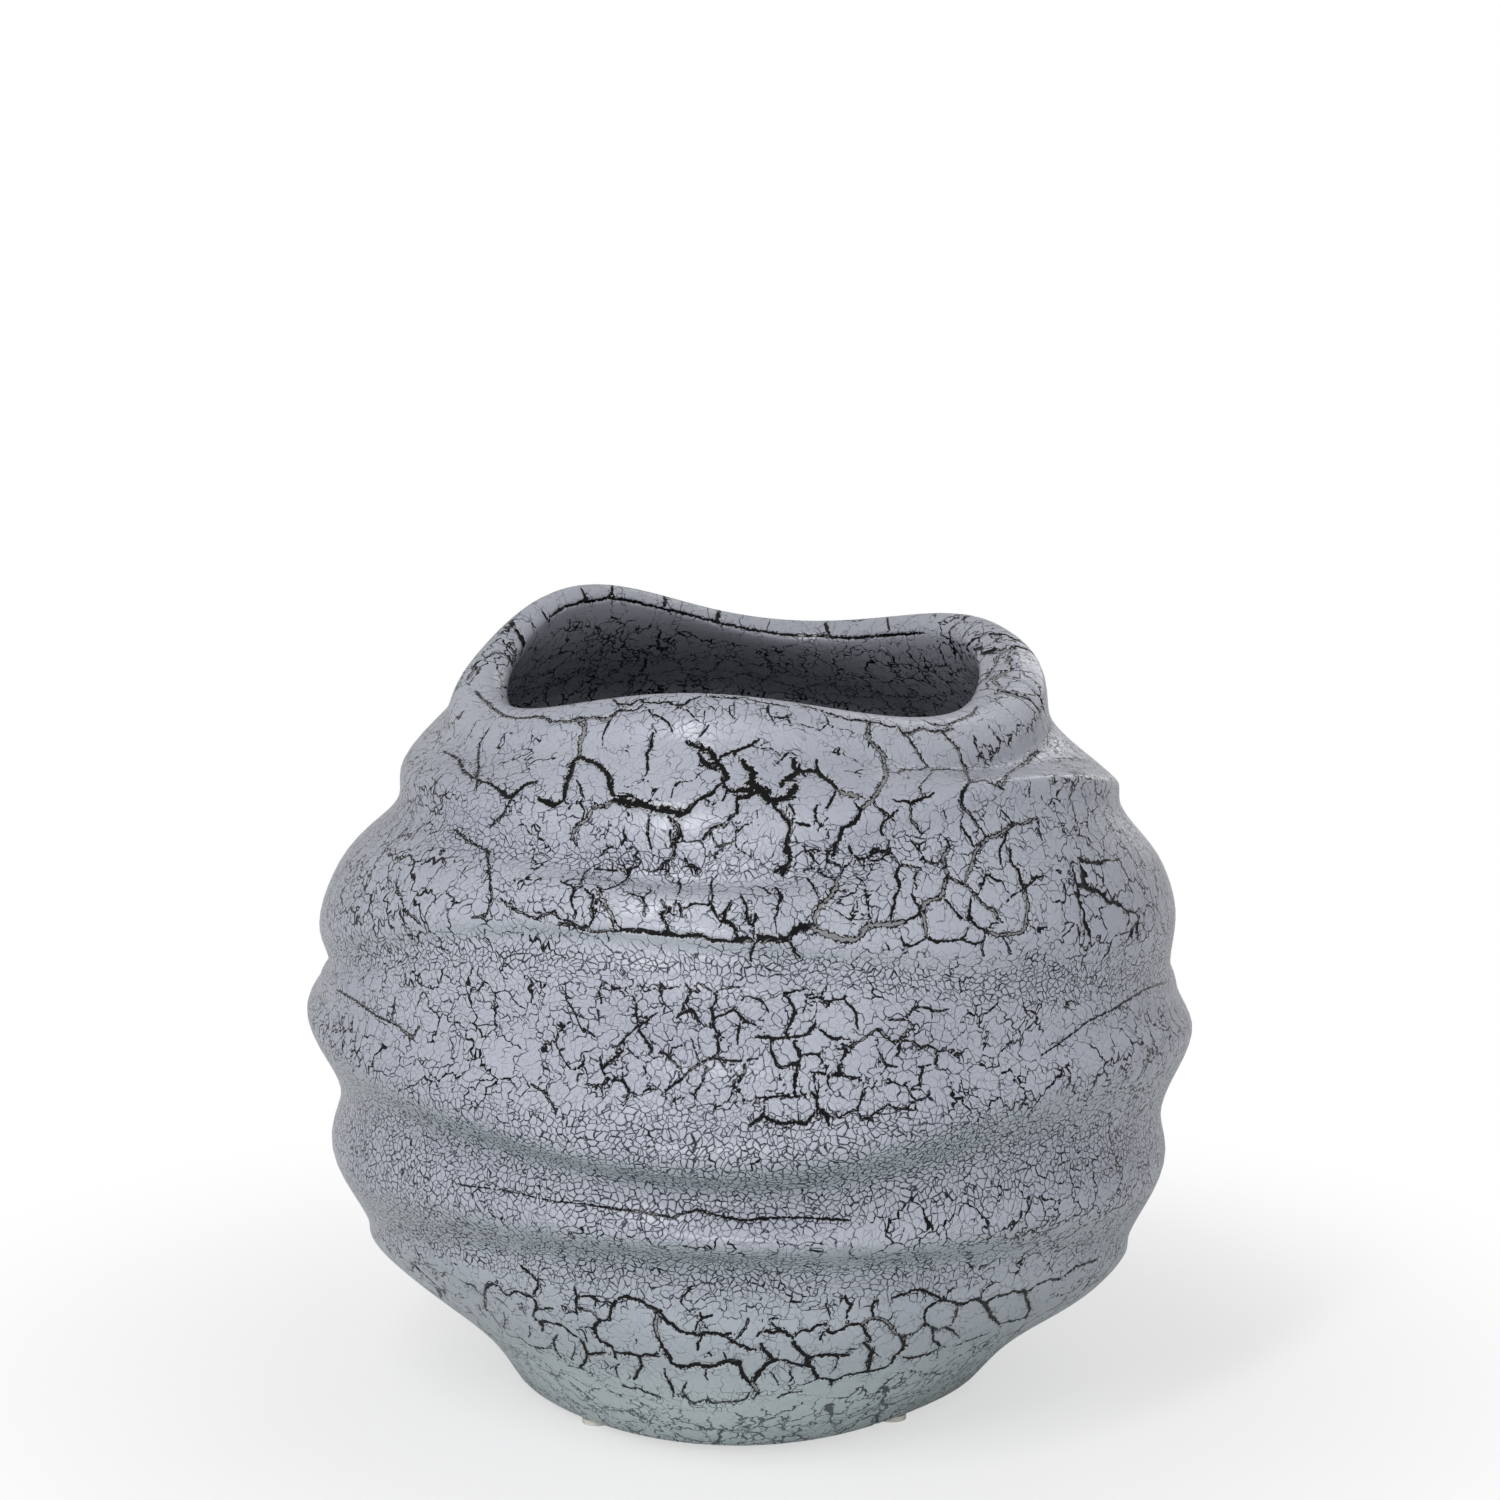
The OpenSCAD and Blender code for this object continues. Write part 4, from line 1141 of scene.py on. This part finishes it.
def net_of_cracks(tree, place, coat, outward, wide_gap, seen):
    """Gap to the nearest crack of the three nets, and half of that crack's width."""
    torn = torn_place(tree, place, NET_WANDERS)
    border, here, beyond, chance = cell_border(tree, torn, outward, FINE_CELL)
    alone, medium_chance = parts_groups(tree, here, beyond, MEDIUM_CELL)
    alone = calculated(tree, "MULTIPLY", alone, share_between(tree, seen, *MEDIUM_NEAR_SEEN))
    medium = net_width(tree, coat, alone, medium_chance, *MEDIUM_WIDTHS)
    parting, small_chance = parts_groups(tree, here, beyond, SMALL_CELL)
    small = net_width(tree, coat, parting, small_chance, *SMALL_WIDTHS)
    from_medium = rough_distance(tree, torn, MEDIUM_CELL)
    spur = share_between(tree, from_medium, *SPURS_NEAR_MEDIUM)
    spur = calculated(tree, "SUBTRACT", spur, SPURS_CLOSED)
    spur = calculated(tree, "MULTIPLY", spur, share_between(tree, coat, *SPURS_ON_COAT))
    small = calculated(tree, "ADD", small, spur,
                       share_between(tree, wide_gap, *SMALL_NEAR_WIDE))
    fine = net_width(tree, coat, 1, chance, *FINE_WIDTHS)
    fine = calculated(tree, "ADD", fine, share_between(tree, wide_gap, *FINE_NEAR_WIDE))
    half_width = calculated(tree, "MAXIMUM", medium, small, fine)
    half_width = calculated(tree, "ADD", half_width, wandering(tree, place, *NET_WANDER))
    return calculated(tree, "SUBTRACT", border, half_width), half_width


# %% [markdown]
# Wide cracks are real grooves in the coat. Geometry Nodes measure the distance to the
# nearest one at every point. Edges near a crack are split twice, so that the mesh is
# fine where it is carved and nowhere else, and then each point in a crack sinks by the
# thickness of the coat.

# %% Measure and carve the wide cracks
# Depth in mm, the gaps between which a crack's side slopes down, and the half widths
# between which the carving grows from nothing to its full depth
CARVE_DEPTH = 0.55
CARVE_EDGE = (0.1, -0.4)
CARVED_WIDTHS = (0.25, 0.45)


def kept(tree, name, kind="FLOAT"):
    """An attribute that was kept on the mesh, in Geometry Nodes."""
    return add(tree, "GeometryNodeInputNamedAttribute", {"Name": name},
               data_type=kind).outputs["Attribute"]


def crack_modifier(piece, depth):
    """Keeps the gap to the nearest wide crack, and sinks the cracks by the depth in mm."""
    keep_attribute(piece, "outward", normals_of(piece), "FLOAT_VECTOR")
    tree = bpy.data.node_groups.new("Carve cracks", "GeometryNodeTree")
    tree.interface.new_socket("Geometry", in_out="INPUT", socket_type="NodeSocketGeometry")
    tree.interface.new_socket("Geometry", in_out="OUTPUT", socket_type="NodeSocketGeometry")
    start = add(tree, "NodeGroupInput")
    position = add(tree, "GeometryNodeInputPosition")
    place = add(tree, "ShaderNodeVectorMath", {0: position.outputs[0], "Scale": 1 / MM},
                operation="SCALE").outputs[0]
    outward = kept(tree, "outward", "FLOAT_VECTOR")
    seen_half = kept(tree, "seen_half")
    seen = seen_gap(tree, place, outward, kept(tree, "seen_spot", "FLOAT_VECTOR"),
                    kept(tree, "seen_far"), seen_half)
    own_gap, own_half = own_cracks(tree, place, kept(tree, "coat"), outward, seen)
    by_own = calculated(tree, "LESS_THAN", own_gap, seen)
    half_width = add(tree, "ShaderNodeMix", {"Factor": by_own, 2: seen_half, 3: own_half},
                     data_type="FLOAT").outputs[0]
    gap = calculated(tree, "MINIMUM", own_gap, seen)
    keep_gap = add(tree, "GeometryNodeStoreNamedAttribute",
                   {"Geometry": start.outputs[0], "Name": "gap", "Value": gap},
                   data_type="FLOAT", domain="POINT")
    keep_width = add(tree, "GeometryNodeStoreNamedAttribute",
                     {"Geometry": keep_gap.outputs[0], "Name": "half_width",
                      "Value": half_width}, data_type="FLOAT", domain="POINT")
    sink = calculated(tree, "MULTIPLY", share_between(tree, gap, *CARVE_EDGE, -depth * MM),
                      share_between(tree, half_width, *CARVED_WIDTHS))
    offset = add(tree, "ShaderNodeVectorMath", {0: outward, "Scale": sink},
                 operation="SCALE")
    moved = add(tree, "GeometryNodeSetPosition",
                {"Geometry": keep_width.outputs[0], "Offset": offset.outputs[0]})
    add(tree, "NodeGroupOutput", {0: moved.outputs[0]})
    modifier = piece.modifiers.new("Carve cracks", "NODES")
    modifier.node_group = tree
    apply_all(piece)


# Reach on each side of a crack in mm, the shortest edge that is still split there, and
# the least half width of such a crack
REFINEMENTS = [(1.7, 1.6, 0.15), (0.8, 0.9, 0.3)]
lay_seen_cracks(vase)
for reach, shortest, least_width in REFINEMENTS:
    crack_modifier(vase, 0)
    near_point = read_attribute(vase, "gap") < reach
    near_point &= read_attribute(vase, "half_width") > least_width
    points = points_of(vase)
    ends = edge_ends(vase)
    lengths = np.linalg.norm(points[ends[:, 0]] - points[ends[:, 1]], axis=1)
    chosen = near_point[ends].any(axis=1) & (lengths > shortest)
    split_edges(vase, chosen)
    lay_coat(vase)
    lay_seen_cracks(vase)
    print("split", chosen.sum(), "edges near cracks, vase:", triangle_count(vase), "triangles")

crack_modifier(vase, CARVE_DEPTH)
carved = read_attribute(vase, "gap") < 0
print("points in cracks:", int(carved.sum()), "of", len(carved))
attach(vase, "root")
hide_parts("vase_body")
bpy.data.objects.remove(mould)

# %% [markdown]
# The glaze is two glazes. The lower one is a black, glassy glaze. The upper one is a
# satin grey coat that drew together in the firing. Its torn edges are thin and turn
# pale in places, partly a beige edge of the coat and partly a painted highlight. The
# greener grey low on the vase and on faces that look down is painted bounce light from
# the floor, the paler foot is painted floor light too, and inside is one even grey. In
# some wide cracks a film of grey healed over the black.

# %% Colours
PLATE_COLOURS = ("#9ea2ae", "#a8acb7")
# Painted bounce light: green-grey of the light thrown up from the floor onto low and down-facing
# faces
PAINTED_BOUNCE_COLOUR = "#96a1a4"
# Painted floor light: the foot is lightened as if lit from the white floor below
PAINTED_FOOT_LIGHT_COLOUR = "#acb8b9"
FOOT_CRACK_COLOUR = "#5c6668"
INNER_COLOUR = "#a0a3ad"
# Pale rim along wide cracks: partly the coat's beige edge, partly a painted highlight where edges
# catch the light
EDGE_AND_HIGHLIGHT_COLOUR = "#b4b1a8"
FILM_COLOUR = "#7c7d80"
FINE_CRACK_COLOUR = "#454953"
BLACK_COLOUR = "#08080a"


def colour(code):
    """An sRGB hex colour as linear red, green, blue and alpha, by the sRGB formula."""
    parts = [int(code[start:start + 2], 16) / 255 for start in (1, 3, 5)]
    linear = [part / 12.92 if part <= 0.04045 else ((part + 0.055) / 1.055) ** 2.4
              for part in parts]
    return (*linear, 1)


def new_material(name):
    """An empty material with its tree."""
    material = bpy.data.materials.new(name)
    material.use_nodes = True
    material.node_tree.nodes.clear()
    return material, material.node_tree


def mixed(tree, share, first, second):
    """The first colour, turned to the second by the share."""
    return add(tree, "ShaderNodeMix", {"Factor": share, 6: first, 7: second},
               data_type="RGBA").outputs[2]


def place_in_mm(tree):
    """Object coordinates in millimetres."""
    where = add(tree, "ShaderNodeTexCoord").outputs["Object"]
    return add(tree, "ShaderNodeVectorMath", {0: where, "Scale": 1 / MM},
               operation="SCALE").outputs[0]


# %% The crackle glaze
# Size in mm of the pieces between cracks across the rim, the rim's radius, the noise
# that makes those cracks jagged, the wander of their half width, and the change that
# closes them at a depth below the lip
RIM_CELL = 8
RIM_RADIUS = 72
RIM_WANDERS = [(4, 3, 1)]
RIM_WIDTH = (9, 0.16, 0.05)
RIM_END = (3, 9, -1)


def rim_cracks(tree, place, below_lip):
    """Gap to the nearest of the thin cracks that cross the rim."""
    parts = add(tree, "ShaderNodeSeparateXYZ", {0: torn_place(tree, place, RIM_WANDERS)})
    angle = calculated(tree, "ARCTAN2", parts.outputs["X"], parts.outputs["Y"])
    around = calculated(tree, "MULTIPLY", angle, RIM_RADIUS / RIM_CELL)
    border = add(tree, "ShaderNodeTexVoronoi", {"W": around, "Scale": 1},
                 voronoi_dimensions="1D", feature="DISTANCE_TO_EDGE").outputs["Distance"]
    half_width = wandering(tree, place, *RIM_WIDTH)
    half_width = calculated(tree, "ADD", half_width, share_between(tree, below_lip, *RIM_END))
    return calculated(tree, "SUBTRACT", calculated(tree, "MULTIPLY", border, RIM_CELL),
                      half_width)


glaze, tree = new_material("crackle glaze over black gloss glaze")
place = place_in_mm(tree)
coat, inside, far, seen_half, film, below_lip = [
    add(tree, "ShaderNodeAttribute", attribute_name=name).outputs["Fac"]
    for name in ("coat", "inside", "seen_far", "seen_half", "film", "below_lip")]
outward, spot = [add(tree, "ShaderNodeAttribute", attribute_name=name).outputs["Vector"]
                 for name in ("outward", "seen_spot")]
seen = seen_gap(tree, place, outward, spot, far, seen_half)
wide_gap = calculated(tree, "MINIMUM", seen, own_cracks(tree, place, coat, outward, seen)[0])
net_gap, half_width = net_of_cracks(tree, place, coat, outward, wide_gap, seen)
net_gap = calculated(tree, "MINIMUM", net_gap, rim_cracks(tree, place, below_lip))
gap = calculated(tree, "MINIMUM", wide_gap, net_gap)

# %% Its colour, gloss and relief
# Heights in mm between which the painted bounce light turns the coat greener, and then the painted
# floor light turns it pale at the foot
PAINTED_BOUNCE_HEIGHTS = (75, 10)
PAINTED_FOOT_LIGHT_HEIGHTS = (36, 14)
# Upward part of the outward direction between which faces that look down get painted green bounce
# light, and how far
PAINTED_BOUNCE_FACING = (-0.1, -0.7, 0.7)
# Wander of the grey between the two colours of the plates
CLOUDS = (40, 0.5, 0.5)
# Gaps and half widths in mm between which an edge turns pale, partly a beige edge of the coat and
# partly a painted highlight, and its patches
EDGE_AND_HIGHLIGHT_GAPS = (0.3, 0.05)
EDGE_AND_HIGHLIGHT_WIDTHS = (0.3, 0.6)
EDGE_AND_HIGHLIGHT_PATCHES = (9, 0.6, 0.3)
# Half widths, and gaps to a wide crack, between which a crack turns black
BROAD_WIDTHS = (0.1, 0.28)
BROAD_GAPS = (0.1, -0.05)
# Heights in mm between which the cracks turn pale at the foot, and how far
FOOT_CRACK_HEIGHTS = (26, 12, 0.75)
# Gaps in mm between which the film begins, and those between which the coat ends
FILM_GAPS = (-0.32, -0.44)
COAT_GAPS = (0.05, -0.05)
# Values on the coat and in a crack
ROUGHNESS = (0.29, 0.08)
SHINE = (0.5, 0.2)
# Fine waves in the coat, the gaps between which its edge rises, and its height in mm
PEEL = (2.4, 0.04, 0)
RELIEF_GAPS = (-0.2, 0.25)
RELIEF_HEIGHT = 0.22
GLAZE_INDEX = 1.5
height = add(tree, "ShaderNodeSeparateXYZ", {0: place}).outputs["Z"]
facing_up = add(tree, "ShaderNodeSeparateXYZ", {0: outward}).outputs["Z"]
# Painted bounce light: the grey turns greener low on the vase and on faces that look down
low = calculated(tree, "MAXIMUM", share_between(tree, height, *PAINTED_BOUNCE_HEIGHTS),
                 share_between(tree, facing_up, *PAINTED_BOUNCE_FACING))
cloud = wandering(tree, place, *CLOUDS)
grey = mixed(tree, cloud, colour(PLATE_COLOURS[0]), colour(PLATE_COLOURS[1]))
grey = mixed(tree, low, grey, colour(PAINTED_BOUNCE_COLOUR))
# Painted floor light: the grey turns paler at the foot
grey = mixed(tree, share_between(tree, height, *PAINTED_FOOT_LIGHT_HEIGHTS), grey, colour(PAINTED_FOOT_LIGHT_COLOUR))
# Pale rim on the wide cracks, partly the coat's own beige edge and partly a painted highlight
edge = calculated(tree, "MULTIPLY", share_between(tree, wide_gap, *EDGE_AND_HIGHLIGHT_GAPS),
                  share_between(tree, seen_half, *EDGE_AND_HIGHLIGHT_WIDTHS),
                  wandering(tree, place, *EDGE_AND_HIGHLIGHT_PATCHES))
grey = mixed(tree, edge, grey, colour(EDGE_AND_HIGHLIGHT_COLOUR))
grey = mixed(tree, inside, grey, colour(INNER_COLOUR))
broad = calculated(tree, "MAXIMUM", share_between(tree, half_width, *BROAD_WIDTHS),
                   share_between(tree, wide_gap, *BROAD_GAPS))
black = mixed(tree, broad, colour(FINE_CRACK_COLOUR), colour(BLACK_COLOUR))
black = mixed(tree, share_between(tree, height, *FOOT_CRACK_HEIGHTS), black,
              colour(FOOT_CRACK_COLOUR))
healed = calculated(tree, "MULTIPLY", share_between(tree, wide_gap, *FILM_GAPS), film)
black = mixed(tree, healed, black, colour(FILM_COLOUR))
in_crack = share_between(tree, gap, *COAT_GAPS)
skin = mixed(tree, in_crack, grey, black)
gloss = calculated(tree, "SUBTRACT", in_crack, healed)
roughness, shine = [
    add(tree, "ShaderNodeMapRange",
        {"Value": gloss, "To Min": on_coat, "To Max": in_black}).outputs[0]
    for on_coat, in_black in (ROUGHNESS, SHINE)]
relief = calculated(tree, "ADD", share_between(tree, gap, *RELIEF_GAPS),
                    wandering(tree, place, *PEEL))
bump = add(tree, "ShaderNodeBump", {"Height": relief, "Distance": RELIEF_HEIGHT * MM})
surface = add(tree, "ShaderNodeBsdfPrincipled",
              {"Base Color": skin, "Roughness": roughness, "Normal": bump.outputs[0],
               "IOR": GLAZE_INDEX, "Specular IOR Level": shine})
add(tree, "ShaderNodeOutputMaterial", {0: surface.outputs[0]})
vase.data.materials.clear()
vase.data.materials.append(glaze)
print("glaze:", len(tree.nodes), "nodes")

# %% [markdown]
# Felt pads keep the foot from scratching a table. Felt is wool pressed wet until its
# fibres mat, so it is pale, has no gloss and looks cloudy from near.

# %% Felt pads
# Wander of the wool between its colours, and the height of its nap in mm
FIBRES = (0.4, 0.5, 0.5)
NAP_HEIGHT = 0.1
WOOL_COLOURS = ("#cfccc4", "#e2e0da")
WOOL_ROUGHNESS = 0.95
felt, tree = new_material("pressed wool felt")
fibres = wandering(tree, place_in_mm(tree), *FIBRES)
wool = mixed(tree, fibres, colour(WOOL_COLOURS[0]), colour(WOOL_COLOURS[1]))
nap = add(tree, "ShaderNodeBump", {"Height": fibres, "Distance": NAP_HEIGHT * MM})
surface = add(tree, "ShaderNodeBsdfPrincipled",
              {"Base Color": wool, "Roughness": WOOL_ROUGHNESS, "Normal": nap.outputs[0]})
add(tree, "ShaderNodeOutputMaterial", {0: surface.outputs[0]})
pads = [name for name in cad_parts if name.startswith("felt_pad")]
for name in pads:
    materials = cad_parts[name].data.materials
    materials.clear()
    materials.append(felt)
print("felt on:", sorted(pads))

# %% [markdown]
# The vase stands on a sheet of matt white paper in a bright studio. Pressed paper has
# no gloss, so it only scatters light. The camera sees it glow, and more so away from the
# vase, so that the shadow stays soft and the rest of the picture is white.

# %% Floor
# Size in metres, the distances between which the glow grows, and its share near the vase
FLOOR_SIZE = 12
NEAR_VASE = 0.12
FAR_FROM_VASE = 0.3
NEAR_GLOW = 0.6
WHITE = (1, 1, 1, 1)
SHEET = (0.86, 0.86, 0.87, 1)
bpy.ops.object.select_all(action="DESELECT")
bpy.ops.mesh.primitive_plane_add(size=FLOOR_SIZE)
floor = bpy.context.active_object
floor.name = "floor"
paper, tree = new_material("matt white paper")
where = add(tree, "ShaderNodeTexCoord").outputs["Object"]
away = with_vectors(tree, "LENGTH", where, output="Value")
glow_share = add(tree, "ShaderNodeMapRange",
                 {"Value": away, "From Min": NEAR_VASE, "From Max": FAR_FROM_VASE,
                  "To Min": NEAR_GLOW}, interpolation_type="SMOOTHSTEP").outputs[0]
rays = add(tree, "ShaderNodeLightPath")
seen_share = calculated(tree, "MULTIPLY", glow_share, rays.outputs["Is Camera Ray"])
sheet = add(tree, "ShaderNodeBsdfDiffuse", {"Color": SHEET})
glow = add(tree, "ShaderNodeEmission", {"Color": WHITE, "Strength": 1})
both = add(tree, "ShaderNodeMixShader",
           {0: seen_share, 1: sheet.outputs[0], 2: glow.outputs[0]})
add(tree, "ShaderNodeOutputMaterial", {0: both.outputs[0]})
floor.data.materials.append(paper)

# %% [markdown]
# A bright, even room lights the vase from all sides, and a tall narrow softbox at the
# upper left, a low one in front and a weak one behind give the ripples their shape. The
# camera alone sees a pure white room.

# %% World
ROOM_LIGHT = 0.55
world = bpy.data.worlds.new("studio")
world.use_nodes = True
tree = world.node_tree
tree.nodes.clear()
soft = add(tree, "ShaderNodeBackground", {"Color": WHITE, "Strength": ROOM_LIGHT})
white = add(tree, "ShaderNodeBackground", {"Color": WHITE, "Strength": 1})
rays = add(tree, "ShaderNodeLightPath")
both = add(tree, "ShaderNodeMixShader",
           {0: rays.outputs["Is Camera Ray"], 1: soft.outputs[0], 2: white.outputs[0]})
add(tree, "ShaderNodeOutputWorld", {0: both.outputs[0]})
bpy.context.scene.world = world

# %% Lamps
VASE_MIDDLE = Vector((0, 0, 0.12))
# Name, width and height in metres, azimuth and elevation in degrees, distance in metres
# and power in watts
LAMPS = [
    ("tall key strip", 0.2, 1.3, -26, 44, 1.9, 16),
    ("low front strip", 0.9, 0.2, -10, 0, 1.9, 8),
    ("rim strip behind", 0.4, 1.2, 155, 20, 1.8, 3),
]


def softbox(name, width, height, azimuth, elevation, distance, watts):
    """A lamp of this width and height in metres that looks at the middle of the vase."""
    lamp = bpy.data.lights.new(name, "AREA")
    lamp.shape = "RECTANGLE"
    lamp.size = width
    lamp.size_y = height
    lamp.energy = watts
    holder = bpy.data.objects.new(name, lamp)
    bpy.context.scene.collection.objects.link(holder)
    turn = math.radians(azimuth)
    lift = math.radians(elevation)
    aim = Vector((math.sin(turn) * math.cos(lift), -math.cos(turn) * math.cos(lift),
                  math.sin(lift)))
    holder.location = VASE_MIDDLE + aim * distance
    holder.rotation_euler = aim.to_track_quat("Z", "Y").to_euler()


for lamp in LAMPS:
    softbox(*lamp)
print("lamps:", len(LAMPS))
